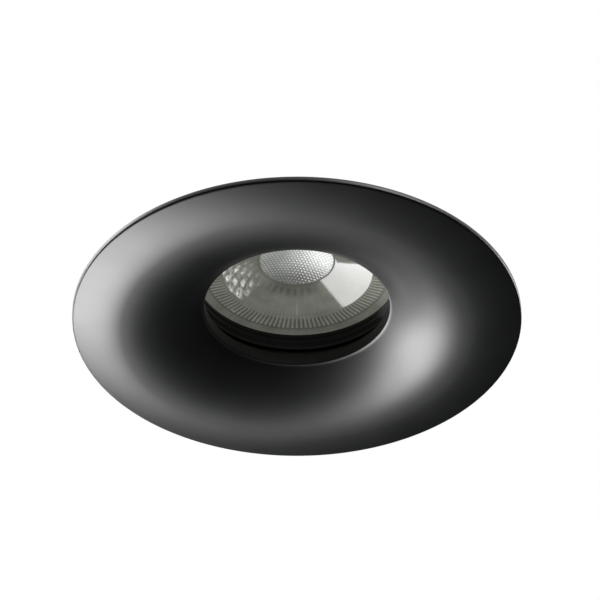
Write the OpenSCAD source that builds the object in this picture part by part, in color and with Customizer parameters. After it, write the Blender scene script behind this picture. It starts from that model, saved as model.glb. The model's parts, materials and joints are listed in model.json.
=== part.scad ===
// Recessed soffit downlight with a low-profile 50 mm lamp and two sprung clips.
// Origin: centre of the trim's seat, in the plane of the soffit.
// +Z goes up into the soffit, the face looks down.

/* [Trim] */
// Outer diameter of the trim
trim_d = 110; // [104:1:134]
// Height of the rim's edge
rim_h = 1.5; // [1.2:0.1:3]
// Wall of the trim
trim_t = 1.6; // [1.2:0.1:2]
// How far in from the rim the face stands out furthest
crown_in = 12; // [9:0.5:14]
// How far the crown stands out past the rim's front edge
crown_h = 2.5; // [1.5:0.1:4]
// Power of the curve from the crown out to the rim
outer_power = 1.78; // [1.5:0.02:2.4]
// Power of the curve from the crown in to the opening
inner_power = 2.27; // [1.8:0.01:2.6]
// Diameter of the opening
opening_d = 45.7; // [42:0.1:47]
// How far the opening's edge lies behind the rim's front edge
opening_h = 5.9; // [5:0.1:8]
// Height of the collar behind the opening
collar_h = 3.1; // [2.4:0.1:4]

/* [Gasket] */
// Width of the soffit gasket
gasket_w = 5.9; // [4.5:0.1:6.5]

/* [Lamp seat] */
// Diameter of the lamp's face
lamp_d = 51; // [48:0.5:60]
// Depth of the dark gap between the collar and the seal
gap_h = 4.5; // [3:0.1:5]
// Depth of the seal in front of the lamp
seal_h = 3.5; // [3:0.1:5]
// Width of the seal's step that the lamp rests on
seal_step = 0.15; // [0.1:0.05:0.8]
// Thickness of the seal around the lamp
seal_t = 0.8; // [0.6:0.1:1.2]
// Wall of the lamp cup
cup_t = 2.1; // [1.8:0.1:2.6]
// Diameter of the circlip's wire
circlip_d = 2; // [1.6:0.1:2.2]

/* [Lamp] */
// Depth of the lens rim
lens_rim_h = 1.6; // [1.2:0.1:2.2]
// Outer radius of the lens's ring of ribs
rib_r = 22.7; // [22:0.1:23]
// Inner radius of the lens's ring of ribs
rib_ir = 19.2; // [18:0.1:20]
// Number of ribs on the lens
rib_count = 120; // [60:10:140]
// Radius of the disc at the bottom of the lens's well
disc_r = 9.1; // [8:0.1:11]
// Depth of the disc's edge behind the lamp's face
disc_h = 3.9; // [3:0.1:5]
// Depth of the collimator behind the lamp's face
collimator_h = 11.5; // [10:0.1:14]
// Thickness of the heat sink over the board
sink_t = 1; // [0.8:0.1:2]
// Number of fins on the heat sink
fin_count = 28; // [16:4:36]
// Height of the lamp's rear cap
cap_h = 3; // [2.5:0.1:3.4]

/* [Spring clips] */
// Thinnest soffit board that the clips grip
board_min = 2.2; // [2.1:0.1:6]
// Width of the clip arm
arm_w = 9.8; // [9:0.1:12]
// Height of the hinge pin above the soffit plane
pin_z = 21; // [19:0.5:24]
// Diameter of the hinge pin
pin_d = 3; // [2.5:0.1:3.4]
// Diameter of the spring wire
wire_d = 1.2; // [0.8:0.1:1.3]
// Mean radius of the spring's coil
coil_r = 2.9; // [2.7:0.1:3.4]
// Whole turns of the spring
coil_turns = 3; // [2:1:4]
// Thickness of the clips' sheet
sheet_t = 1; // [0.8:0.1:1.2]
// Radius of the clip's rubber foot
foot_r = 2.2; // [2:0.1:2.6]

/* [Terminal box] */
// Outer length of the terminal box
box_l = 22; // [22:0.5:25]
// Height of the terminal box without its lid
box_h = 12.8; // [12.8:0.1:15]
// Wall of the terminal box
box_t = 1.5; // [1.2:0.1:1.8]
// Thickness of the lid
lid_t = 1.4; // [1.2:0.1:2]
// Diameter of the mains cable that the grommet takes
cable_d = 6.8; // [5:0.1:7.5]
// Distance between the terminals
pole_pitch = 8; // [7.5:0.1:10]

/* [Hidden] */
$fn = 96;

// Clearances: sliding fit, running fit, a seat, and a tapped or pressed hole
fit = 0.1;
running = 0.05;
seat = 0.02;
press = 0.01;

// Heights, from the rim's front edge up
rim_z = -rim_h;
crown_z = rim_z - crown_h;
opening_z = rim_z + opening_h;
collar_z = opening_z + collar_h;
seal_z = collar_z + gap_h;
lamp_z = seal_z + seal_h;
disc_z = lamp_z + disc_h;
collimator_z = lamp_z + collimator_h;

// Radii
trim_r = trim_d / 2;
crown_r = trim_r - crown_in;
opening_r = opening_d / 2;
collar_t = 1.6;
collar_r = opening_r + collar_t;
lamp_r = lamp_d / 2;

// Trim: edge roundings, gasket channel and screw bosses
rim_round = 0.5;
opening_round = 0.45;
channel_t = 1.4;
channel_z = -0.2;
rim_wall_r = trim_r - trim_t;
gasket_ir = rim_wall_r - fit - gasket_w;
boss_r = 3.2;
boss_angles = [90, 210, 330];
boss_root = 1;
pilot_r = 1.25;
pilot_depth = 5;
screw_tip = 0.5;

// Lamp cup
cup_ir = lamp_r + fit + seal_t;
cup_r = cup_ir + cup_t;
boss_ring_r = cup_r + 5;
cup_lap = 2.1;
cup_z = collar_z - cup_lap;
cup_floor_t = 1.6;
ledge_t = 1;
flange_t = 2.3;
flange_z = lamp_z + lens_rim_h;
circlip_r = lamp_r + 0.4;
circlip_z = flange_z + flange_t + circlip_d / 2 + running;
groove_play = 0.1;
cup_top = circlip_z + circlip_d / 2 + 1;
notch_angle = 45;
notch_w = 12.4;
boss_lap = 0.3;
seal_lip = 1.3;
ridge_r = 0.22;
ridge_places = [0.69, 0.2];
pad_out = 0.2;
pad_face = cup_r + pad_out;
screw_head_r = 2.8;
screw_head_h = 2;
screw_hole_r = 1.7;

// Circlip ends
circlip_open = 16;
tab_h = 5.5;

// Lens
rib_h = 0.3;
rib_share = 0.72;
rib_back = 0.06;
groove_w = 0.35;
well_r = rib_ir - 0.2;
well_edge = 0.6;
bowl_h = 2.2;
skirt_r = lamp_r - 3.7;
skirt_h = 1.4;
lens_t = 1.7;
collimator_r = 6.2;
chip_hole_r = 3.2;
chip_hole_h = 2.6;
chip_w = 3.4;
chip_h = 0.7;
dome_r = 1.3;
dome_h = 0.2;

// Heat sink
neck_r = lamp_r - 1.2;
core_r = lamp_r - 3.2;
sink_top_r = lamp_r - 6.8;
fin_top_r = lamp_r - 5.7;
fin_t = 1;
fin_shoulder = 2.2;
board_r = lamp_r - 8;
board_t = 1.5;
pad_t = 0.4;
board_screw_r = 0.8;
board_screw_depth = 0.7;
board_screw_ring_r = board_r - 3.5;
board_screw_angles = [45, 225];
driver_ring_r = board_r - 4.8;
board_z = collimator_z + fit;
pad_z = board_z + board_t;
floor_z = pad_z + pad_t;
sink_z = floor_z + sink_t;
cap_z = sink_z + cap_h;
bay_r = board_r + 0.3;
bay_z = flange_z + 6;

// Lamp cap and leads
cap_r = sink_top_r - 3.7;
cap_t = 1.2;
lead_r = 1;
lead_y = 2;
lead_bend = 5;
lead_x = [-pole_pitch, 0];
lead_boss_r = 1.9;
lead_boss_h = 1.2;
lead_root = 0.8;
lead_end = 2.6;

// Clips: the pin's place follows from the coil that touches the back plate, and the arm's length and angle
// from where its foot stops, over the middle of the gasket. The stop is the web's end, on the back plate.
cheek_gap = 0.4;
bracket_w = arm_w + 2 * (sheet_t + cheek_gap);
pad_w = bracket_w + 1.4;
bracket_z = cup_z + cup_floor_t + 1.5;
bracket_top = pin_z + 6.5;
ear_r = pin_d / 2 + 1.4;
ear_l = 11;
cheek_r = pin_d / 2 + 1.9;
tip_in = 1.4;
tip_l = 4;
tip_out = 1;
bead_w = 2;
bead_h = 0.5;
bead_lap = 0.2;
bead_slope = 1;
pin_head_out = 0.7;
pin_head_t = 1;
pin_peen_out = 0.4;
pin_peen_t = 0.6;
pin_out = coil_r + wire_d / 2 + running;
pin_x = pad_face + sheet_t + pin_out;
plate_n = -pin_out;
plate_mid_n = plate_n - sheet_t / 2;
foot_rise = foot_r + board_min;
foot_x = gasket_ir + gasket_w / 2;
arm_reach = norm([foot_x - pin_x, pin_z - foot_rise]);
arm_l = sqrt(arm_reach * arm_reach - plate_mid_n * plate_mid_n);
arm_angle = asin((pin_z - foot_rise) / arm_reach) - atan(-plate_mid_n / arm_l);
web_start = ((sheet_t - plate_n) * sin(arm_angle) + running - pin_out) / cos(arm_angle);
rivet_r = 1.5;
rivet_head_r = 2;
rivet_head_h = 0.7;
rivet_depth = 2;
rivet_tip = 0.1;
foot_neck = 3.9;
foot_neck_t = 3;
foot_end = 1.2;
rivet_z = bracket_z + 3;
rivet_y = 3.2;
coil_pitch = wire_d + 0.45;
fixed_leg = 5.5;
moving_leg = 12;
coil_rings = 8;
wire_sides = 6;

// Terminal box and its bracket
strap_w = 14;
strap_t = 1.2;
strap_z = cap_z + 1;
strap_y = pad_face;
strap_bottom = cup_z + cup_floor_t + screw_head_h + 0.6;
strap_screw_z = [strap_bottom + 3, cup_top - 2.6];
strap_screw_depth = 2;
strap_screw_r = 1.4;
strap_head_r = 2.3;
strap_head_h = 1.2;
box_front = lead_y + lead_bend + 1;
box_back = box_front + box_l;
box_z = strap_z + strap_t;
box_floor = box_z + box_t;
box_top = box_z + box_h;
box_corner = 2;
box_screw_y = [box_front + 4, box_back - box_t - 2];
box_screw_r = 1;
box_screw_head_r = 1.9;
box_screw_head_h = 1.2;
lead_z = cap_z + lead_boss_h + lead_bend + 1.2;

// Terminal block
block_w = 3 * pole_pitch;
block_l = 9.5;
block_h = 9.2;
block_y = box_back - box_t - 4 - block_l;
block_wall = 1;
clamp_s = 5;
wire_hole_r = 1.6;
well_hole_r = 2;
terminal_screw_r = 1.5;
terminal_screw_h = 4.4;
terminal_screw_y = [0.28 * block_l, 0.72 * block_l];

// Cable entry, on the box's right wall
grommet_t = 1;
grommet_lip = 1.2;
grommet_inner_lip = 0.5;
grommet_lip_t = 1.3;
grommet_r = cable_d / 2 + grommet_t;
clamp_w = 3.6;
clamp_t = 1.2;
clamp_x = block_w / 2 + 1.1;
box_w = 2 * (clamp_x + clamp_w + 1.8 + box_t);
clamp_head_r = 1.5;
clamp_post = clamp_head_r + fit;
clamp_screw_r = 1;
clamp_screw_l = 2.6;
clamp_head_h = 1.1;
clamp_hole_depth = 3;
clamp_foot_y = cable_d / 2 + clamp_t + clamp_post;
entry_y = box_front + box_t + clamp_foot_y + clamp_post;
entry_z = box_floor + grommet_r + grommet_inner_lip + 0.4;

// Lid hinge and screw
lid_pin_r = 0.75;
knuckle_r = 1.6;
knuckle_w = 15.2;
box_knuckle_w = 3;
knuckle_gap = 0.3;
hinge_y = box_back + knuckle_r + knuckle_gap;
hinge_z = box_top - 0.4;
lip_t = 1;
lip_h = 1;
lip_gap = 0.3;
lid_boss_r = 2.4;
lid_screw_x = -(box_w / 2 - box_t - lid_boss_r);
lid_screw_y = box_front + box_t + lid_boss_r;
lid_screw_r = 1.1;
lid_screw_l = 4;
lid_head_r = 2;
lid_head_h = 1.2;

// Colours
black = [0.06, 0.06, 0.065];
box_black = [0.14, 0.14, 0.15];
rubber = [0.1, 0.1, 0.1];
clear = [0.7, 0.7, 0.65];
white = [0.9, 0.9, 0.88];
steel = [0.75, 0.76, 0.78];
brass = [0.8, 0.65, 0.3];

// ---- shared forms

// Height and slope of the trim's face at radius r
function face_u(r) = r > crown_r
    ? (r - crown_r) / (trim_r - crown_r)
    : (crown_r - r) / (crown_r - opening_r);
function face_z(r) = r > crown_r
    ? crown_z + crown_h * pow(face_u(r), outer_power)
    : crown_z + (crown_h + opening_h) * pow(face_u(r), inner_power);
function face_slope(r) = r > crown_r
    ? crown_h * outer_power * pow(face_u(r), outer_power - 1) / (trim_r - crown_r)
    : -(crown_h + opening_h) * inner_power * pow(face_u(r), inner_power - 1) / (crown_r - opening_r);

// The back of the trim lies one wall behind the face
function back_z(r) = face_z(r) + trim_t * sqrt(1 + pow(face_slope(r), 2));

function between(a, b, n) = [for (i = [0:n]) a + (b - a) * i / n];

// A corner at b, rounded by a parabola from a to c
function round_corner(a, b, c, n = 4) =
    [for (i = [0:n]) let (t = i / n) (1 - t) * (1 - t) * a + 2 * t * (1 - t) * b + t * t * c];

// A cylinder along +X or +Y instead of +Z
module along_x(r, h) {
    rotate([0, 90, 0]) cylinder(r = r, h = h);
}
module along_y(r, h) {
    rotate([-90, 0, 0]) cylinder(r = r, h = h);
}

// A pan-head screw whose head sits on z = 0 and whose shank goes down
module screw(head_r, head_h, shank_r, shank_l, slot = 0.8) {
    difference() {
        union() {
            cylinder(r = head_r, h = head_h);
            translate([0, 0, -shank_l]) cylinder(r = shank_r, h = shank_l + head_h / 2);
        }
        translate([-head_r - 1, -slot / 2, head_h * 0.55]) cube([2 * head_r + 2, slot, head_h]);
    }
}

// A box with rounded upright edges, centred on X
module rounded_box(w, l, h, r) {
    translate([-w / 2, r, 0]) cube([w, l - 2 * r, h]);
    translate([r - w / 2, 0, 0]) cube([w - 2 * r, l, h]);
    for (x = [r - w / 2, w / 2 - r]) for (y = [r, l - r]) translate([x, y, 0]) cylinder(r = r, h = h);
}

// Places its children on the right (+X) side, or turned to the left
module side(left) {
    rotate([0, 0, left ? 180 : 0]) children();
}

// Lays a flat outline, drawn with x outwards and y up, in the XZ plane, w wide and centred on Y
module upright(w) {
    translate([0, w / 2, 0]) rotate([90, 0, 0]) linear_extrude(w) children();
}

// Places of repeated fasteners
module at_bosses(z) {
    for (a = boss_angles) rotate(a) translate([boss_ring_r, 0, z]) children();
}
module at_board_screws(z) {
    for (a = board_screw_angles) rotate(a) translate([board_screw_ring_r, 0, z]) children();
}
module at_rivets(x) {
    for (y = [-rivet_y, rivet_y]) translate([x, y, rivet_z]) children();
}
module at_clamp_screws(z) {
    for (y = [-clamp_foot_y, clamp_foot_y]) translate([clamp_x + clamp_w / 2, entry_y + y, z]) children();
}
module at_lid_screw(z) {
    translate([lid_screw_x, lid_screw_y, z]) children();
}

// ---- trim

module trim_ring() {
    outer_r = between(trim_r - rim_round, crown_r, 12);
    inner_r = between(crown_r, opening_r + opening_round, 18);
    face = concat(
        round_corner([trim_r, rim_z + rim_round], [trim_r, rim_z],
                     [trim_r - rim_round, face_z(trim_r - rim_round)]),
        [for (i = [1:12]) [outer_r[i], face_z(outer_r[i])]],
        [for (i = [1:17]) [inner_r[i], face_z(inner_r[i])]],
        round_corner([opening_r + opening_round, face_z(opening_r + opening_round)],
                     [opening_r, opening_z], [opening_r, opening_z + opening_round]));
    boss_foot = between(boss_ring_r - boss_r - boss_root, boss_ring_r + boss_r + boss_root, 4);
    channel_r = gasket_ir - fit;
    back_in = between(collar_r, channel_r - channel_t, 14);
    back_out = between(channel_r, rim_wall_r, 5);
    back = concat(
        [[opening_r, collar_z], [collar_r, collar_z]],
        [for (r = back_in) [r, back_z(r)]],
        [[channel_r - channel_t, channel_z], [channel_r, channel_z]],
        [for (r = back_out) [r, back_z(r)]],
        [[rim_wall_r, 0], [trim_r, 0]]);
    color(black) difference() {
        union() {
            rotate_extrude() polygon(concat(face, back));
            intersection() {
                rotate_extrude() polygon(concat(
                    [for (r = boss_foot) [r, (face_z(r) + back_z(r)) / 2]],
                    [[boss_foot[4], cup_z], [boss_foot[0], cup_z]]));
                at_bosses(crown_z) cylinder(r = boss_r, h = cup_z - crown_z);
            }
        }
        at_bosses(cup_z - pilot_depth) cylinder(r = pilot_r, h = pilot_depth + 1);
    }
}

module soffit_gasket() {
    radii = between(gasket_ir, rim_wall_r - fit, 5);
    color(rubber) rotate_extrude() polygon(concat(
        [for (r = radii) [r, back_z(r) + seat]],
        [[rim_wall_r - fit, 0], [gasket_ir, 0]]));
}

// ---- lamp seat

module lamp_cup() {
    groove_r = circlip_r + circlip_d / 2 + groove_play;
    groove_low = circlip_z - circlip_d / 2 - groove_play;
    groove_high = circlip_z + circlip_d / 2 + groove_play;
    outline = [
        [collar_r + fit, cup_z], [cup_r, cup_z], [cup_r, cup_top], [cup_ir, cup_top],
        [cup_ir, groove_high], [groove_r, groove_high], [groove_r, groove_low], [cup_ir, groove_low],
        [cup_ir, seal_z], [lamp_r, seal_z], [lamp_r, seal_z - ledge_t], [cup_ir, seal_z - ledge_t],
        [cup_ir, cup_z + cup_floor_t], [collar_r + fit, cup_z + cup_floor_t]];
    ear_r = boss_r + boss_lap;
    pad_in = cup_r - cup_t / 2;
    color(black) difference() {
        union() {
            rotate_extrude() polygon(outline);
            at_bosses(cup_z) cylinder(r = ear_r, h = cup_floor_t);
            for (a = boss_angles) rotate(a) translate([pad_in, -ear_r, cup_z])
                cube([boss_ring_r - pad_in, 2 * ear_r, cup_floor_t]);
            for (a = [0, 90, 180]) rotate(a) translate([pad_in, -pad_w / 2, bracket_z - 1])
                cube([pad_face - pad_in, pad_w, cup_top - bracket_z + 1]);
        }
        at_bosses(cup_z - 1) cylinder(r = screw_hole_r, h = cup_floor_t + 2);
        for (a = [0, 180]) rotate(a) at_rivets(pad_face - rivet_depth) along_x(rivet_r, rivet_depth + 1);
        for (z = strap_screw_z) translate([0, pad_face - strap_screw_depth, z])
            along_y(pilot_r, strap_screw_depth + 1);
        rotate(notch_angle) translate([lamp_r - 1, -notch_w / 2, groove_low])
            cube([cup_t + 4, notch_w, cup_top - groove_low + 1]);
    }
}

module cup_screws() {
    color(steel) at_bosses(cup_z + cup_floor_t)
        screw(screw_head_r, screw_head_h, pilot_r - press, cup_floor_t + pilot_depth - screw_tip);
}

module lamp_seal() {
    inner_r = lamp_r - seal_step;
    ridge = function (z) [for (a = [90:-30:-90]) [inner_r - ridge_r * cos(a), z + ridge_r * sin(a)]];
    ridges = [for (p = ridge_places) each ridge(seal_z + p * seal_h)];
    outline = concat(
        [[inner_r, lamp_z]], ridges,
        [[inner_r, seal_z], [cup_ir - running, seal_z], [cup_ir - running, flange_z + seal_lip],
         [lamp_r + running, flange_z + seal_lip], [lamp_r + running, lamp_z]]);
    color([0.03, 0.03, 0.03]) rotate_extrude() polygon(outline);
}

module lamp_circlip() {
    wire_r = circlip_d / 2;
    half = circlip_open / 2;
    color(steel) translate([0, 0, circlip_z]) rotate(notch_angle) {
        rotate(half) rotate_extrude(angle = 360 - circlip_open) translate([circlip_r, 0])
            circle(r = wire_r, $fn = 48);
        for (a = [-half, half]) rotate(a) translate([circlip_r, 0, 0]) {
            sphere(r = wire_r, $fn = 48);
            cylinder(r = wire_r, h = tab_h);
        }
    }
}

// ---- lamp

// One rib of the lens seen from the front, along +X: it widens outwards and ends in a half round
module lens_rib() {
    half = function (r) rib_share * r * tan(180 / rib_count);
    end_r = half(rib_r);
    end_x = rib_r - end_r;
    tip = [for (a = [-90:30:90]) [end_x + end_r * cos(a), end_r * sin(a)]];
    polygon(concat([[rib_ir, half(rib_ir)], [rib_ir, -half(rib_ir)]], tip));
}

module lens() {
    bowl = [for (r = between(0, disc_r, 10)) [r, disc_z + bowl_h * (1 - pow(r / disc_r, 2))]];
    outline = concat(bowl, [
        [disc_r + 0.3, disc_z - 0.3],
        [well_r, lamp_z + well_edge], [rib_ir, lamp_z + rib_h], [rib_r + groove_w, lamp_z + rib_h],
        [rib_r + 2 * groove_w, lamp_z], [lamp_r - 0.2, lamp_z], [lamp_r, lamp_z + 0.2],
        [lamp_r, flange_z], [skirt_r, flange_z], [skirt_r, flange_z + skirt_h],
        [skirt_r - 1, flange_z + skirt_h], [skirt_r - 1.4, lamp_z + well_edge + lens_t],
        [disc_r + 0.9, disc_z + lens_t - 0.2], [disc_r + 0.2, disc_z + lens_t],
        [collimator_r, collimator_z], [chip_hole_r, collimator_z],
        [chip_hole_r - 0.3, collimator_z - chip_hole_h], [0, collimator_z - chip_hole_h - 0.4]]);
    color(clear) {
        rotate_extrude() polygon(outline);
        for (i = [0:rib_count - 1]) rotate(i * 360 / rib_count) translate([0, 0, lamp_z + rib_back])
            linear_extrude(rib_h) lens_rib();
    }
}

module lamp_heat_sink() {
    core = [
        [skirt_r + fit, flange_z], [lamp_r, flange_z], [lamp_r, flange_z + flange_t],
        [core_r, flange_z + flange_t], [sink_top_r, sink_z], [0, sink_z], [0, floor_z],
        [bay_r, floor_z], [bay_r, bay_z], [skirt_r + fit, flange_z + skirt_h + fit]];
    fin_root = flange_z + flange_t - 0.5;
    fin = [
        [core_r - 1.8, fin_root], [neck_r, fin_root], [neck_r, flange_z + flange_t + fin_shoulder],
        [fin_top_r, sink_z], [sink_top_r - 0.5, sink_z]];
    color(white) difference() {
        union() {
            rotate_extrude() polygon(core);
            for (i = [0:fin_count - 1]) rotate(i * 360 / fin_count) upright(fin_t) polygon(fin);
        }
        at_board_screws(floor_z - 1) cylinder(r = board_screw_r, h = board_screw_depth + 1);
    }
}

module led_board() {
    color(white) difference() {
        translate([0, 0, board_z]) cylinder(r = board_r, h = board_t);
        at_board_screws(board_z - 1) cylinder(r = board_screw_r + 0.3, h = board_t + 2);
    }
}

module led_chip() {
    color([0.95, 0.85, 0.3]) translate([0, 0, board_z - chip_h]) {
        translate([-chip_w / 2, -chip_w / 2, 0]) cube([chip_w, chip_w, chip_h]);
        translate([0, 0, -dome_h]) cylinder(r = dome_r, h = dome_h + chip_h / 2);
    }
}

// Surface-mounted parts around the light source: [angle, length, width, height]
module driver_chips() {
    parts = [[0, 4.8, 3.8, 1.4], [60, 3.2, 2.4, 1.1], [105, 3.2, 1.6, 0.8], [150, 3.2, 1.6, 0.8],
             [180, 4.8, 3.8, 1.4], [255, 5, 2.6, 1.2], [300, 3.2, 2.4, 1.1]];
    color([0.12, 0.12, 0.13]) for (p = parts) rotate(p[0])
        translate([driver_ring_r - p[2] / 2, -p[1] / 2, board_z - p[3]]) cube([p[2], p[1], p[3]]);
}

module thermal_pad() {
    color([0.55, 0.6, 0.65]) difference() {
        translate([0, 0, pad_z]) cylinder(r = board_r - 0.5, h = pad_t);
        at_board_screws(pad_z - 1) cylinder(r = board_screw_r + 0.6, h = pad_t + 2);
    }
}

module board_screws() {
    color(steel) at_board_screws(board_z) rotate([180, 0, 0])
        screw(2 * board_screw_r, 0.9, board_screw_r - press, board_t + pad_t + board_screw_depth - fit, 0.4);
}

module lamp_cap() {
    color(white) difference() {
        union() {
            translate([0, 0, sink_z]) cylinder(r = cap_r, h = cap_h);
            for (x = lead_x) translate([x, lead_y, cap_z - 0.5])
                cylinder(r = lead_boss_r, h = lead_boss_h + 0.5);
        }
        translate([0, 0, sink_z - 1]) cylinder(r = cap_r - cap_t, h = cap_h - cap_t + 1);
        for (x = lead_x) translate([x, lead_y, sink_z])
            cylinder(r = lead_r + running, h = cap_h + lead_boss_h + 1);
    }
}

// An insulated lead: up from the lamp, a quarter turn, and level into the terminal block
module lead() {
    root_z = sink_z + lead_root;
    bend_z = lead_z - lead_bend;
    bend_y = lead_y + lead_bend;
    translate([0, lead_y, root_z]) cylinder(r = lead_r, h = bend_z - root_z);
    translate([0, bend_y, bend_z]) rotate([0, -90, 0]) rotate([0, 0, -90])
        rotate_extrude(angle = 90) translate([lead_bend, 0]) circle(r = lead_r, $fn = 32);
    translate([0, bend_y, lead_z]) along_y(lead_r, block_y + lead_end - bend_y);
}

module lamp_leads() {
    color([0.85, 0.85, 0.85]) for (x = lead_x) translate([x, 0, 0]) lead();
}

// ---- spring clips, drawn on the right side

module clip_bracket() {
    plate_face = pad_face + sheet_t;
    cheek_foot = bracket_z + 2;
    cheek = [[pad_face, cheek_foot], [pad_face, bracket_top], [plate_face, bracket_top],
             [pin_x, pin_z + cheek_r], [pin_x, pin_z - cheek_r], [plate_face, cheek_foot]];
    color(steel) difference() {
        union() {
            translate([pad_face, -bracket_w / 2, bracket_z])
                cube([sheet_t, bracket_w, bracket_top - bracket_z]);
            for (y = [-1, 1]) translate([0, y * (bracket_w - sheet_t) / 2, 0]) upright(sheet_t) {
                polygon(cheek);
                translate([pin_x, pin_z]) circle(r = cheek_r);
            }
        }
        translate([pin_x, -bracket_w, pin_z]) along_y(pin_d / 2 + press, 2 * bracket_w);
        at_rivets(pad_face - 1) along_x(rivet_r, sheet_t + 2);
    }
}

module clip_rivets() {
    shank = sheet_t + rivet_depth - rivet_tip;
    color(steel) {
        at_rivets(pad_face + sheet_t) rotate([0, 90, 0])
            cylinder(r1 = rivet_head_r, r2 = rivet_head_r * 0.6, h = rivet_head_h);
        at_rivets(pad_face + sheet_t - shank) along_x(rivet_r - 0.04, shank + rivet_head_h / 2);
    }
}

module clip_pin() {
    r = pin_d / 2;
    end = bracket_w / 2 + running;
    outline = [[0, -end - pin_head_t], [r + pin_head_out, -end - pin_head_t], [r + pin_head_out, -end],
               [r, -end], [r, end], [r + pin_peen_out, end], [r + pin_peen_out, end + pin_peen_t],
               [0, end + pin_peen_t]];
    color(steel) translate([pin_x, 0, pin_z]) rotate([90, 0, 0]) rotate_extrude() polygon(outline);
}

// The arm's own frame: x runs along the arm, z stands off its upper face, both from the pin
module along_arm() {
    translate([pin_x, 0, pin_z]) rotate([0, arm_angle, 0]) children();
}

module clip_arm() {
    plate_low = plate_n - sheet_t;
    tip_w = arm_w - 2 * tip_in;
    taper = arm_l - tip_l;
    tip = arm_l + tip_out;
    bead_start = ear_l - 2;
    bead_end = taper - 1.5;
    bead = [[bead_start, plate_low + bead_lap], [bead_start, plate_low],
            [bead_start + bead_slope, plate_low - bead_h], [bead_end - bead_slope, plate_low - bead_h],
            [bead_end, plate_low], [bead_end, plate_low + bead_lap]];
    ear = [[-ear_r * 0.85, -ear_r * 0.5], [web_start, plate_low], [ear_l, plate_low],
           [ear_l, plate_n], [ear_r * 0.9, ear_r * 0.4]];
    color(steel) along_arm() difference() {
        union() {
            for (y = [-1, 1]) translate([0, y * (arm_w - sheet_t) / 2, 0]) upright(sheet_t) {
                polygon(ear);
                circle(r = ear_r);
            }
            translate([0, 0, plate_low]) linear_extrude(sheet_t) polygon([
                [web_start, -arm_w / 2], [ear_l, -arm_w / 2], [taper, -tip_w / 2], [tip, -tip_w / 2],
                [tip, tip_w / 2], [taper, tip_w / 2], [ear_l, arm_w / 2], [web_start, arm_w / 2]]);
            // Pressed bead that stiffens the plate, on its lower face
            upright(bead_w) polygon(bead);
        }
        translate([0, -arm_w, 0]) along_y(pin_d / 2 + running, 2 * arm_w);
    }
}

module clip_foot() {
    tip_w = arm_w - 2 * tip_in;
    foot_w = tip_w + 2 * foot_end;
    color(rubber) along_arm() translate([arm_l, 0, plate_mid_n]) difference() {
        union() {
            translate([0, -foot_w / 2, 0]) along_y(foot_r, foot_w);
            translate([-foot_neck, -foot_w / 2, -foot_neck_t / 2]) cube([foot_neck, foot_w, foot_neck_t]);
        }
        translate([-foot_neck - 1, -tip_w / 2, -sheet_t / 2])
            cube([foot_neck + 1 + tip_out, tip_w, sheet_t]);
    }
}

// Torsion spring: a straight leg on the arm, a coil round the pin, a straight leg up the back plate
spring_start = 270 - arm_angle;
spring_sweep = coil_turns * 360 + spring_start - 180;
spring_rise = coil_pitch * spring_sweep / 360;
spring_steps = ceil(spring_sweep * coil_rings / 360);
function coil_point(i) = let (f = i / spring_steps, a = spring_start - f * spring_sweep)
    [coil_r * cos(a), (f - 0.5) * spring_rise, coil_r * sin(a)];
function leg_point(d) = [coil_r * cos(spring_start) + d * cos(-arm_angle), -spring_rise / 2,
                         coil_r * sin(spring_start) + d * sin(-arm_angle)];
spring_line = concat(
    [leg_point(moving_leg), leg_point(wire_d)],
    [for (i = [0:spring_steps]) coil_point(i)],
    [[-coil_r, spring_rise / 2, wire_d], [-coil_r, spring_rise / 2, fixed_leg]]);

// Least distance between the wire's surfaces on stretches that lie at least half a turn apart
function least_gap(line, d) = min([for (i = [0:len(line) - 1]) for (j = [i + 5:1:len(line) - 1])
    norm(line[i] - line[j])]) - d;

// Tube along a line: each ring stands square to the run through its point, and the ends are closed
module tube(line, r, sides) {
    last = len(line) - 1;
    run = function (i) line[min(i + 1, last)] - line[max(i - 1, 0)];
    rings = [for (i = [0:last])
        let (t = run(i) / norm(run(i)), u = cross(t, [0, 1, 0]), n = u / norm(u), b = cross(t, n))
        for (k = [0:sides - 1]) line[i] + r * (cos(360 * k / sides) * n + sin(360 * k / sides) * b)];
    walls = [for (i = [0:last - 1]) for (k = [0:sides - 1])
        let (a = i * sides + k, b = i * sides + (k + 1) % sides, c = b + sides, d = a + sides)
        each [[a, b, c], [a, c, d]]];
    first = last * sides;
    caps = [for (k = [1:sides - 2]) each [[0, k + 1, k], [first, first + k, first + k + 1]]];
    polyhedron(points = rings, faces = concat(walls, caps));
}

module clip_spring() {
    echo("least gap of the clip spring, mm", least_gap(spring_line, wire_d));
    color(steel) translate([pin_x, 0, pin_z]) tube(spring_line, wire_d / 2, wire_sides);
}

// ---- terminal box

module box_bracket() {
    run_y = box_front + 1;
    color(steel) difference() {
        union() {
            translate([-strap_w / 2, strap_y, strap_bottom]) cube([strap_w, strap_t, box_z - strap_bottom]);
            translate([-strap_w / 2, run_y, strap_z]) cube([strap_w, strap_y + strap_t - run_y, strap_t]);
        }
        for (z = strap_screw_z) translate([0, strap_y - 1, z]) along_y(strap_screw_r, strap_t + 2);
        for (y = box_screw_y) translate([0, y, strap_z - 1]) cylinder(r = box_screw_r, h = strap_t + 2);
    }
}

module bracket_screws() {
    color(steel) for (z = strap_screw_z) translate([0, strap_y + strap_t, z]) rotate([-90, 0, 0])
        screw(strap_head_r, strap_head_h, pilot_r - press, strap_t + strap_screw_depth - 0.2, 0.6);
}

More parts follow.
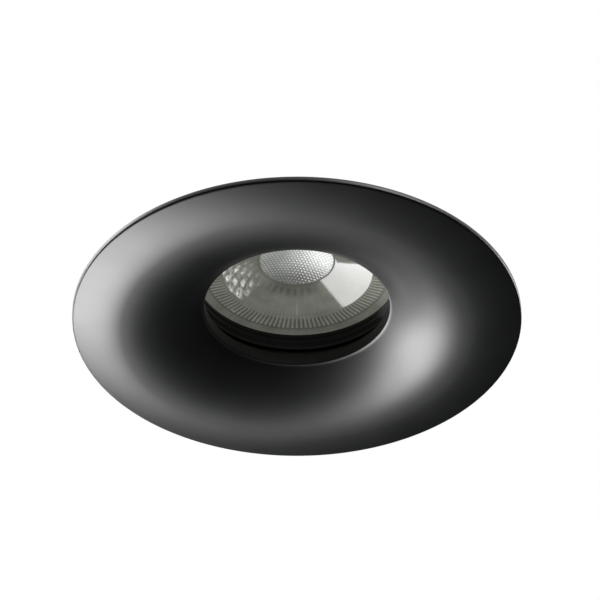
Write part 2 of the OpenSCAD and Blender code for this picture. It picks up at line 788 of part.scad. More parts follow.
// One knuckle of the box at each end of the lid's, on a web from the back wall
module box_knuckles() {
    for (x = [-1, 1]) translate([x * (knuckle_w + box_knuckle_w + 2 * knuckle_gap) / 2, 0, 0]) {
        translate([-box_knuckle_w / 2, hinge_y, hinge_z]) along_x(knuckle_r, box_knuckle_w);
        translate([-box_knuckle_w / 2, box_back - 0.5, hinge_z - knuckle_r])
            cube([box_knuckle_w, hinge_y - box_back + 0.5, knuckle_r]);
    }
}

module terminal_box() {
    boss_h = box_top - lip_h - running - box_floor;
    color(box_black) difference() {
        union() {
            difference() {
                translate([0, box_front, box_z]) rounded_box(box_w, box_l, box_h, box_corner);
                translate([0, box_front + box_t, box_floor])
                    rounded_box(box_w - 2 * box_t, box_l - 2 * box_t, box_h, box_corner - box_t);
            }
            at_lid_screw(box_floor - 0.5) cylinder(r = lid_boss_r, h = boss_h + 0.5);
            for (y = [-1, 1])
                translate([clamp_x, entry_y + y * clamp_foot_y - clamp_post, box_floor - 0.5])
                    cube([clamp_w, 2 * clamp_post, entry_z - box_floor + 0.5]);
            box_knuckles();
        }
        translate([-box_w, hinge_y, hinge_z]) along_x(lid_pin_r + press, 2 * box_w);
        translate([0, entry_y, entry_z]) along_x(grommet_r, box_w);
        for (x = lead_x) translate([x, box_front - 1, lead_z]) along_y(lead_r + fit, box_t + 2);
        for (y = box_screw_y) translate([0, y, box_z - 1]) cylinder(r = box_screw_r + 0.3, h = box_t + 2);
        at_lid_screw(box_top - lid_screw_l - 2) cylinder(r = lid_screw_r + press, h = lid_screw_l + 4);
        at_clamp_screws(entry_z - clamp_hole_depth) cylinder(r = clamp_screw_r, h = clamp_hole_depth + 1);
    }
}

module box_screws() {
    color(steel) for (y = box_screw_y) translate([0, y, box_floor])
        screw(box_screw_head_r, box_screw_head_h, box_screw_r - press, box_t + strap_t - fit, 0.5);
}

module terminal_block() {
    slot = clamp_s + 2 * running;
    color([0.85, 0.86, 0.84]) difference() {
        translate([-block_w / 2, block_y, box_floor]) cube([block_w, block_l, block_h]);
        for (i = [-1:1]) translate([i * pole_pitch, block_y, lead_z]) {
            translate([-slot / 2, block_wall, -slot / 2]) cube([slot, block_l - 2 * block_wall, slot]);
            translate([0, -1, 0]) along_y(wire_hole_r, block_l + 2);
            for (y = terminal_screw_y) translate([0, y, 0]) cylinder(r = well_hole_r, h = block_h);
        }
    }
}

module terminal_clamps() {
    start = block_wall + running;
    color(brass) for (i = [-1:1]) translate([i * pole_pitch, block_y, lead_z]) difference() {
        translate([-clamp_s / 2, start, -clamp_s / 2]) cube([clamp_s, block_l - 2 * start, clamp_s]);
        along_y(wire_hole_r, block_l);
        for (y = terminal_screw_y) translate([0, y, 0]) cylinder(r = terminal_screw_r, h = clamp_s);
    }
}

module terminal_screws() {
    slot_z = terminal_screw_h - 0.7;
    color(steel) for (i = [-1:1]) for (y = terminal_screw_y)
        translate([i * pole_pitch, block_y + y, lead_z + lead_r + running]) difference() {
            cylinder(r = terminal_screw_r - press, h = terminal_screw_h);
            translate([-terminal_screw_r - 1, -0.3, slot_z]) cube([2 * terminal_screw_r + 2, 0.6, 1]);
        }
}

module cable_grommet() {
    bore_r = cable_d / 2;
    neck_r = grommet_r - running;
    outer_r = grommet_r + grommet_lip;
    inner_r = grommet_r + grommet_inner_lip;
    inner_end = -box_t - grommet_lip_t;
    outline = [
        [bore_r, inner_end], [inner_r, inner_end], [inner_r, -box_t - seat], [neck_r, -box_t - seat],
        [neck_r, seat], [outer_r, seat], [outer_r, grommet_lip_t * 0.6],
        [(outer_r + grommet_r) / 2, grommet_lip_t], [bore_r, grommet_lip_t]];
    color(rubber) translate([box_w / 2, entry_y, entry_z]) rotate([0, 90, 0]) rotate_extrude()
        polygon(outline);
}

// Saddle strap that holds the cable down on its two posts
module cable_clamp() {
    half = clamp_foot_y + clamp_post;
    color(white) difference() {
        translate([clamp_x, entry_y, entry_z]) {
            translate([0, -half, 0]) cube([clamp_w, 2 * half, clamp_t]);
            along_x(cable_d / 2 + clamp_t, clamp_w);
        }
        translate([0, entry_y, entry_z]) along_x(cable_d / 2, box_w);
        translate([clamp_x - 1, entry_y - half - 1, entry_z - half]) cube([clamp_w + 2, 2 * half + 2, half]);
        at_clamp_screws(entry_z - 1) cylinder(r = clamp_screw_r + 0.2, h = clamp_t + 2);
    }
}

module clamp_screws() {
    color(steel) at_clamp_screws(entry_z + clamp_t)
        screw(clamp_head_r, clamp_head_h, clamp_screw_r - seat, clamp_t + clamp_screw_l, 0.5);
}

module terminal_lid() {
    lip_in = box_t + lip_gap;
    lip_w = box_w - 2 * lip_in;
    lip_l = box_l - 2 * lip_in;
    color(box_black) difference() {
        union() {
            translate([0, box_front, box_top]) rounded_box(box_w, box_l, lid_t, box_corner);
            difference() {
                translate([-lip_w / 2, box_front + lip_in, box_top - lip_h])
                    cube([lip_w, lip_l, lip_h + 0.5]);
                translate([-lip_w / 2 + lip_t, box_front + lip_in + lip_t, box_top - lip_h - 1])
                    cube([lip_w - 2 * lip_t, lip_l - 2 * lip_t, lip_h + 3]);
                at_lid_screw(box_top - lip_h - 1) cylinder(r = lid_boss_r + 0.4, h = lip_h + 1 - press);
            }
            translate([-knuckle_w / 2, hinge_y, hinge_z]) along_x(knuckle_r, knuckle_w);
            translate([-knuckle_w / 2, box_back - 1, box_top])
                cube([knuckle_w, hinge_y - box_back + 1, hinge_z + knuckle_r - box_top]);
        }
        translate([-box_w, hinge_y, hinge_z]) along_x(lid_pin_r + running, 2 * box_w);
        at_lid_screw(box_top - 1) cylinder(r = lid_screw_r + 0.2, h = lid_t + 2);
    }
}

module lid_pin() {
    length = knuckle_w + 2 * (box_knuckle_w + knuckle_gap);
    color(steel) translate([-length / 2, hinge_y, hinge_z]) along_x(lid_pin_r, length);
}

module lid_screw() {
    color(steel) at_lid_screw(box_top + lid_t)
        screw(lid_head_r, lid_head_h, lid_screw_r, lid_t + lid_screw_l, 0.5);
}

trim_ring();
soffit_gasket();
lamp_cup();
cup_screws();
lamp_seal();
lamp_circlip();
lens();
lamp_heat_sink();
led_board();
led_chip();
driver_chips();
thermal_pad();
board_screws();
lamp_cap();
lamp_leads();
side(false) clip_bracket();  // clip_bracket_right
side(true) clip_bracket();  // clip_bracket_left
side(false) clip_rivets();  // clip_rivets_right
side(true) clip_rivets();  // clip_rivets_left
side(false) clip_pin();  // clip_pin_right
side(true) clip_pin();  // clip_pin_left
side(false) clip_arm();  // clip_arm_right
side(true) clip_arm();  // clip_arm_left
side(false) clip_foot();  // clip_foot_right
side(true) clip_foot();  // clip_foot_left
side(false) clip_spring();  // clip_spring_right
side(true) clip_spring();  // clip_spring_left
box_bracket();
bracket_screws();
terminal_box();
box_screws();
terminal_block();
terminal_clamps();
terminal_screws();
cable_grommet();
cable_clamp();
clamp_screws();
terminal_lid();
lid_pin();
lid_screw();
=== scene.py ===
"""Looks of a round soffit downlight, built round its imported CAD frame.

The black trim, the seal, the clear lens, the foam gasket and the clip springs are made here as fine
surfaces that stand for their CAD nodes. Every other node keeps its own mesh and gets a finish. Lengths
are millimetres in the frame's axes unless a name says otherwise: Z points up into the soffit, and the
photograph looks up from the -Y side.
"""

import json
import logging
import math
from collections.abc import Mapping, Sequence
from dataclasses import dataclass, field
from enum import Enum
from typing import Any

import bmesh
import bpy
import numpy as np
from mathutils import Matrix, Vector


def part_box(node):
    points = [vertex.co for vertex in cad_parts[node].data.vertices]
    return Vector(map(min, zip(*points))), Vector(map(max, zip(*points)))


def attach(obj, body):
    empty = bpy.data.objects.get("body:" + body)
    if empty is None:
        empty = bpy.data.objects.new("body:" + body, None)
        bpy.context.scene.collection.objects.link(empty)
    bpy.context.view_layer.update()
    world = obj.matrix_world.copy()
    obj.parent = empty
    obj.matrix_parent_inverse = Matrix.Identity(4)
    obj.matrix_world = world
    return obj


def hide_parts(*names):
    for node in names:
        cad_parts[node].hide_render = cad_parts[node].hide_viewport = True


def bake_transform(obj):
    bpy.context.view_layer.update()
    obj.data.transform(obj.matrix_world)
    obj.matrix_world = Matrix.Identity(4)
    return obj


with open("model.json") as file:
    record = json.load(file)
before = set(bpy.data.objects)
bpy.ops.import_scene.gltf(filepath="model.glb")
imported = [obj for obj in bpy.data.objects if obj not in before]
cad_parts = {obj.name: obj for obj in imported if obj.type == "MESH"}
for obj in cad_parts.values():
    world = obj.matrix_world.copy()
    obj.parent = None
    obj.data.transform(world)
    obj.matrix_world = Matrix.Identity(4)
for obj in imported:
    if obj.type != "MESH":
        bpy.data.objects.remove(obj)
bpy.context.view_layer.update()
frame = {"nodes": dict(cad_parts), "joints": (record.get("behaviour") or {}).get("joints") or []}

LOG = logging.getLogger("soffit_downlight")
MM = 0.001
WELD = 1e-7
FITTING = "fitting"
IMAGE_PX = 600

Array = np.ndarray
Colour = tuple[float, float, float]
Piece = bpy.types.Object
Node = bpy.types.Node
Socket = bpy.types.NodeSocket
Material = bpy.types.Material


# ---- shapes


def corner(before: Sequence[float], at: Sequence[float], after: Sequence[float], steps: int = 8) -> Array:
    """A rounded corner: the parabola (1-t)^2 before + 2t(1-t) at + t^2 after, for t from 0 to 1.

    Args:
        before: Where the rounding starts, as (radius, height).
        at: The sharp corner that it replaces.
        after: Where the rounding ends.
        steps: Stretches along the curve.

    Returns:
        The points of the curve, one (radius, height) in each row.
    """
    t = np.linspace(0, 1, steps + 1)[:, None]
    return (1 - t) ** 2 * np.array(before) + 2 * t * (1 - t) * np.array(at) + t**2 * np.array(after)


def grid_faces(rows: int, columns: int, ring: bool, closed: bool) -> Array:
    """Quads between the neighbours of a grid of points, numbered row by row.

    Args:
        rows: Points along the first parameter.
        columns: Points along the second parameter.
        ring: True if the last row joins the first one.
        closed: True if the last column joins the first one.

    Returns:
        One quad of four point numbers in each row.
    """
    row, column = np.meshgrid(np.arange(rows if ring else rows - 1),
                              np.arange(columns if closed else columns - 1), indexing="ij")
    below, beside = (row + 1) % rows, (column + 1) % columns
    quads = [row * columns + column, row * columns + beside,
             below * columns + beside, below * columns + column]
    return np.stack(quads, axis=-1).reshape(-1, 4)


def make_piece(name: str, points: Array, faces: Array, sharp: float = 35, tone: Array | None = None) -> Piece:
    """Puts points and faces into a mesh, welds its seams and poles, and turns its faces outwards.

    Args:
        name: The piece's name.
        points: Places in millimetres, one in each row.
        faces: Point numbers, three or four in each row.
        sharp: Edges that turn more than this many degrees stay sharp.
        tone: A number for each point, kept as the mesh attribute "tone".

    Returns:
        The new object, at the origin and linked to the scene.
    """
    mesh = bpy.data.meshes.new(name)
    mesh.vertices.add(len(points))
    mesh.vertices.foreach_set("co", (points * MM).astype(np.float32).ravel())
    mesh.loops.add(faces.size)
    mesh.loops.foreach_set("vertex_index", faces.astype(np.int32).ravel())
    mesh.polygons.add(len(faces))
    mesh.polygons.foreach_set("loop_start", np.arange(0, faces.size, faces.shape[1], dtype=np.int32))
    if tone is not None:
        layer = mesh.attributes.new("tone", "FLOAT", "POINT")
        layer.data.foreach_set("value", tone.astype(np.float32).ravel())
    mesh.update(calc_edges=True)
    work = bmesh.new()
    work.from_mesh(mesh)
    bmesh.ops.remove_doubles(work, verts=work.verts, dist=WELD)
    bmesh.ops.dissolve_degenerate(work, edges=work.edges, dist=WELD)
    bmesh.ops.recalc_face_normals(work, faces=work.faces)
    work.to_mesh(mesh)
    work.free()
    mesh.polygons.foreach_set("use_smooth", np.ones(len(mesh.polygons), dtype=bool))
    mesh.set_sharp_from_angle(angle=math.radians(sharp))
    mesh.update()
    piece = bpy.data.objects.new(name, mesh)
    bpy.context.scene.collection.objects.link(piece)
    return piece


def turned(name: str, outline: Array, sharp: float = 35, columns: int = 360) -> Piece:
    """Turns a closed outline round the Z axis: x = r cos a, y = r sin a, z = z.

    Args:
        name: The piece's name.
        outline: The outline's (radius, height) points, in order round it.
        sharp: Edges that turn more than this many degrees stay sharp.
        columns: Steps round the axis.

    Returns:
        The turned piece.
    """
    angles = np.linspace(0, 2 * math.pi, columns, endpoint=False)
    radius, height = outline[:, :1], outline[:, 1:]
    points = np.stack(np.broadcast_arrays(radius * np.cos(angles), radius * np.sin(angles), height), axis=-1)
    return make_piece(name, points.reshape(-1, 3), grid_faces(len(outline), columns, True, True), sharp)


def wire(name: str, path: Array, radius: float, across: Array, sides: int = 14,
         bluntness: float = 0.4) -> Piece:
    """Carries a circle along a path that keeps nearly square to one direction, with rounded ends.

    Each ring is the path's point plus radius times (cos a side + sin a up), where side is the run crossed
    with the given direction and up is the run crossed with side. Past each end, three rings shrink to a
    point: a ring that is a share of the radius stands out by the bluntness times the root of one less the
    share squared.

    Args:
        name: The piece's name.
        path: The wire's middle line, one point in each row.
        radius: The wire's radius.
        across: The direction that the path keeps square to.
        sides: Points round the wire.
        bluntness: How far a rounded end stands out, as a share of the radius.

    Returns:
        The wire.
    """
    run = np.gradient(path, axis=0)
    run /= np.linalg.norm(run, axis=1, keepdims=True)
    ends = np.array([0, 0.55, 0.9])
    out = bluntness * radius * np.sqrt(1 - ends**2)[:, None]
    size = radius * np.concatenate([ends, np.ones(len(path)), ends[::-1]])
    path = np.concatenate([path[:1] - run[:1] * out, path, path[-1:] + run[-1:] * out[::-1]])
    run = np.pad(run, ((len(ends), len(ends)), (0, 0)), mode="edge")
    side = np.cross(run, across)
    side /= np.linalg.norm(side, axis=1, keepdims=True)
    up = np.cross(run, side)
    angle = np.linspace(0, 2 * math.pi, sides, endpoint=False)[None, :, None]
    way = np.cos(angle) * side[:, None] + np.sin(angle) * up[:, None]
    points = path[:, None] + size[:, None, None] * way
    return make_piece(name, points.reshape(-1, 3), grid_faces(len(path), sides, False, True), 60)


# ---- nodes and shared effects


class Tree:
    """Short calls that add and join nodes in one node tree."""

    def __init__(self, tree: bpy.types.NodeTree) -> None:
        """Works on the given tree."""
        self.tree = tree

    def put(self, socket: Socket, value: Any) -> None:
        """Gives an input its value.

        Args:
            socket: The input.
            value: A socket, which is linked to the input, or a plain value, which is set on it.
        """
        if isinstance(value, Socket):
            self.tree.links.new(value, socket)
        else:
            socket.default_value = value

    def add(self, kind: str, inputs: Mapping[str | int, Any] | None = None, **settings: Any) -> Node:
        """Adds a node.

        Args:
            kind: The node's type, without its ShaderNode prefix.
            inputs: Values or sockets, by input name or number.
            settings: The node's own settings.

        Returns:
            The new node.
        """
        node = self.tree.nodes.new("ShaderNode" + kind)
        for name, value in settings.items():
            setattr(node, name, value)
        for name, value in (inputs or {}).items():
            self.put(node.inputs[name], value)
        return node

    def math(self, operation: str, *values: Any) -> Socket:
        """The result of a Math node on one, two or three values or sockets."""
        return self.add("Math", dict(enumerate(values)), operation=operation).outputs[0]

    def times(self, first: Any, *others: Any) -> Socket:
        """The product of two or more values.

        Args:
            first: A value or a socket.
            others: More of them.

        Returns:
            The product.
        """
        for other in others:
            first = self.math("MULTIPLY", first, other)
        return first

    def apart(self, first: Any, second: Any) -> Socket:
        """How far two values lie from each other."""
        return self.math("ABSOLUTE", self.math("SUBTRACT", first, second))

    def place(self, *values: Any) -> Socket:
        """A place from its X, its Y and perhaps its Z."""
        return self.add("CombineXYZ", dict(zip("XYZ", values))).outputs[0]

    def ramp(self, value: Any, start: float, stop: float, low: float = 0, high: float = 1) -> Socket:
        """The value's smooth rise from low at start to high at stop.

        Args:
            value: The value that is followed.
            start: Where the rise starts.
            stop: Where the rise ends.
            low: The result up to start.
            high: The result from stop on.

        Returns:
            The result.
        """
        node = self.add("MapRange", {"Value": value, "From Min": start, "From Max": stop, "To Min": low,
                                     "To Max": high}, interpolation_type="SMOOTHSTEP")
        return node.outputs["Result"]

    def band(self, value: Any, limits: Sequence[float]) -> Socket:
        """A mask that rises from 0 to 1 and falls again.

        Args:
            value: The value that is followed.
            limits: Where the mask starts to rise, is full, starts to fall, and ends.

        Returns:
            The mask.
        """
        start, full, fade, stop = limits
        return self.times(self.ramp(value, start, full), self.ramp(value, fade, stop, 1, 0))

    def mix(self, share: Any, first: Any, second: Any) -> Socket:
        """A colour that goes from the first to the second with the share.

        Args:
            share: A value or a socket, from 0 to 1.
            first: A colour or a socket.
            second: A colour or a socket.

        Returns:
            The mixed colour.
        """
        node = self.add("Mix", {"Factor": share}, data_type="RGBA")
        for socket, value in zip([s for s in node.inputs if s.type == "RGBA"], (first, second)):
            self.put(socket, value if isinstance(value, Socket) else (*value, 1))
        return [s for s in node.outputs if s.type == "RGBA"][0]

    def noise(self, place: Any, scale: Any, detail: float) -> Socket:
        """A noise's value at a place."""
        return self.add("TexNoise", {"Vector": place, "Scale": scale, "Detail": detail}).outputs["Fac"]

    def group(self, name: str, **inputs: Any) -> Node:
        """Places a shared effect.

        Args:
            name: The effect's name.
            inputs: Values or sockets for its inputs, with underscores for the spaces in their names.

        Returns:
            The effect's node.
        """
        node = self.add("Group", node_tree=bpy.data.node_groups[name])
        for key, value in inputs.items():
            self.put(node.inputs[key.replace("_", " ")], value)
        return node


def new_group(name: str, inputs: Mapping[str, Any],
              outputs: Sequence[str]) -> tuple[Tree, dict[str, Socket], Node]:
    """Starts a shared effect.

    Args:
        name: The group's name.
        inputs: The default of each input; None makes it a vector.
        outputs: The names of the values that it puts out.

    Returns:
        The group's tree, its input sockets by name, and its output node.
    """
    tree = bpy.data.node_groups.new(name, "ShaderNodeTree")
    for key, default in inputs.items():
        kind = "NodeSocketVector" if default is None else "NodeSocketFloat"
        socket = tree.interface.new_socket(key, in_out="INPUT", socket_type=kind)
        if default is not None:
            socket.default_value = default
    for key in outputs:
        tree.interface.new_socket(key, in_out="OUTPUT", socket_type="NodeSocketFloat")
    start, end = tree.nodes.new("NodeGroupInput"), tree.nodes.new("NodeGroupOutput")
    return Tree(tree), {s.name: s for s in start.outputs if s.name}, end


def make_grain_group() -> None:
    """Moulded or painted grain: fine relief, and a slow wander of tone over the piece."""
    tree, start, end = new_group("grain", {"Vector": None, "Fine Scale": 4000, "Slow Scale": 60},
                                 ["Relief", "Wander"])
    for result, scale in (("Relief", "Fine Scale"), ("Wander", "Slow Scale")):
        tree.put(end.inputs[result], tree.noise(start["Vector"], start[scale], 3))


def make_drawn_group() -> None:
    """Lines of drawn or rolled metal: a noise stretched along one direction by the Along scale."""
    tree, start, end = new_group("drawn_lines", {"Vector": None, "Along X": 60, "Along Y": 60, "Along Z": 60},
                                 ["Relief"])
    part = tree.add("SeparateXYZ", {0: start["Vector"]})
    scaled = [tree.times(part.outputs[axis], start["Along " + axis]) for axis in "XYZ"]
    tree.put(end.inputs["Relief"], tree.noise(tree.place(*scaled), 1, 4))


def make_round_group() -> None:
    """Radius and angle round the Z axis, in millimetres and in turns from 0 to 1."""
    tree, start, end = new_group("round_places", {"Vector": None}, ["Radius", "Turn"])
    part = tree.add("SeparateXYZ", {0: start["Vector"]})
    squares = [tree.times(part.outputs[axis], part.outputs[axis]) for axis in "XY"]
    radius = tree.math("SQRT", tree.math("ADD", *squares))
    turn = tree.math("ARCTAN2", part.outputs["Y"], part.outputs["X"])
    tree.put(end.inputs["Radius"], tree.math("DIVIDE", radius, MM))
    tree.put(end.inputs["Turn"], tree.math("MULTIPLY_ADD", turn, 0.5 / math.pi, 0.5))


# ---- finishes


class Surface(Enum):
    """How the raw surface of a finish is made, which sets the form of its relief."""

    MOULDED = "moulded"
    CAST = "cast"
    DRAWN = "drawn"
    ROLLED = "rolled"


GRAIN_MM = {Surface.MOULDED: 0.35, Surface.CAST: 0.7, Surface.DRAWN: 0.2, Surface.ROLLED: 0.3}
LINE_STRETCH = 0.04
LEAST_ROUGHNESS = 0.02
COAT_ROUGHNESS = 0.12


@dataclass(frozen=True)
class Finish:
    """One finish: its colour and gloss, and how far its tone, gloss and relief (in mm) wander."""

    name: str
    colour: Colour
    roughness: float
    metallic: float = 0.0
    ior: float = 1.5
    surface: Surface = Surface.MOULDED
    relief: float = 0.006
    wander: float = 0.12
    gloss_wander: float = 0.06
    coat: float = 0.0
    slow_scale: float = 90

    def start(self) -> tuple[Tree, Node, Socket, Material]:
        """Makes the material with its shader's plain values.

        Returns:
            The material's tree, its shader, its Object coordinates and the material.
        """
        material = bpy.data.materials.new(self.name)
        material.use_nodes = True
        tree = Tree(material.node_tree)
        shader = material.node_tree.nodes["Principled BSDF"]
        tree.put(shader.inputs["Metallic"], self.metallic)
        tree.put(shader.inputs["IOR"], self.ior)
        tree.put(shader.inputs["Coat Weight"], self.coat)
        tree.put(shader.inputs["Coat Roughness"], COAT_ROUGHNESS)
        place = tree.add("TexCoord").outputs["Object"]
        return tree, shader, place, material

    def fineness(self) -> float:
        """Grains in a metre."""
        return 1 / (GRAIN_MM[self.surface] * MM)

    def grain(self, tree: Tree, place: Socket) -> Node:
        """Places the shared grain, as fine as the raw surface."""
        return tree.group("grain", Vector=place, Fine_Scale=self.fineness(), Slow_Scale=self.slow_scale)

    def relieve(self, tree: Tree, shader: Node, height: Socket) -> None:
        """Joins a height from 0 to 1 to the shader, as a bump that is as high as the relief."""
        bump = tree.add("Bump", {"Height": height, "Strength": 1.0, "Distance": self.relief * MM})
        tree.put(shader.inputs["Normal"], bump.outputs["Normal"])

    def tint(self, tree: Tree, shader: Node, wander: Socket) -> None:
        """Lets the colour wander with a mask.

        Args:
            tree: The material's tree.
            shader: The material's shader.
            wander: The mask, from 0 to 1.
        """
        dark = tuple(c * (1 - self.wander) for c in self.colour)
        light = tuple(min(1.0, c * (1 + self.wander)) for c in self.colour)
        tree.put(shader.inputs["Base Color"], tree.mix(wander, dark, light))

    def gloss(self, tree: Tree, wander: Socket) -> Socket:
        """The roughness, which wanders with a mask from 0 to 1."""
        low, high = self.roughness - self.gloss_wander, self.roughness + self.gloss_wander
        return tree.ramp(wander, 0.25, 0.75, max(LEAST_ROUGHNESS, low), high)

    def material(self) -> Material:
        """The finish as a material with grain or drawn lines.

        Returns:
            The new material.
        """
        tree, shader, place, material = self.start()
        grain = self.grain(tree, place)
        relief = grain.outputs["Relief"]
        if self.surface in (Surface.DRAWN, Surface.ROLLED):
            stretched = "Along_Y" if self.surface is Surface.ROLLED else "Along_X"
            along = dict.fromkeys(("Along_X", "Along_Y", "Along_Z"), self.fineness())
            along[stretched] *= LINE_STRETCH
            relief = tree.group("drawn_lines", Vector=place, **along).outputs["Relief"]
        self.tint(tree, shader, grain.outputs["Wander"])
        tree.put(shader.inputs["Roughness"], self.gloss(tree, grain.outputs["Wander"]))
        self.relieve(tree, shader, relief)
        return material


@dataclass(frozen=True)
class FoamFinish(Finish):
    """Closed-cell foam: small round cells, darker at their bottoms by painted shade."""

    cell_mm: float = 0.55

    def material(self) -> Material:
        """The foam as a material.

        Returns:
            The new material.
        """
        tree, shader, place, material = self.start()
        cells = tree.add("TexVoronoi", {"Vector": place, "Scale": 1 / (self.cell_mm * MM)},
                         feature="SMOOTH_F1")
        depth = tree.ramp(cells.outputs["Distance"], 0.1, 0.6)
        # painted shade darkens each cell's bottom, and the grain lets the tone wander at random
        wander = tree.times(depth, self.grain(tree, place).outputs["Wander"])
        self.tint(tree, shader, wander)
        tree.put(shader.inputs["Roughness"], self.gloss(tree, wander))
        self.relieve(tree, shader, depth)
        return material


@dataclass(frozen=True)
class LacquerFinish(Finish):
    """Sprayed satin lacquer, which is duller where it gathers round the opening."""

    edge_mm: tuple[float, float] = (23.5, 30.0)
    edge_dull: float = 0.05

    def material(self) -> Material:
        """The lacquer as a material.

        Returns:
            The new material.
        """
        tree, shader, place, material = self.start()
        grain = self.grain(tree, place)
        radius = tree.group("round_places", Vector=place).outputs["Radius"]
        rough = self.gloss(tree, grain.outputs["Wander"])
        duller = tree.ramp(radius, *self.edge_mm, self.edge_dull, 0)
        self.tint(tree, shader, grain.outputs["Wander"])
        tree.put(shader.inputs["Roughness"], tree.math("ADD", rough, duller))
        self.relieve(tree, shader, grain.outputs["Relief"])
        return material


@dataclass(frozen=True)
class BoardFinish(Finish):
    """The lamp's board: white lacquer with faint round tracks under it, at an even distance."""

    track: Colour = (0.55, 0.5, 0.36)
    track_mm: float = 1.4
    track_share: float = 0.5

    def material(self) -> Material:
        """The board as a material.

        Returns:
            The new material.
        """
        tree, shader, place, material = self.start()
        radius = tree.group("round_places", Vector=place).outputs["Radius"]
        ring = tree.math("PINGPONG", radius, self.track_mm)
        on_track = tree.times(tree.ramp(ring, 0.95, 1.05), self.track_share)
        tree.put(shader.inputs["Base Color"], tree.mix(on_track, self.colour, self.track))
        tree.put(shader.inputs["Roughness"], self.gloss(tree, self.grain(tree, place).outputs["Wander"]))
        self.relieve(tree, shader, tree.ramp(ring, 0.9, 1.1))
        return material


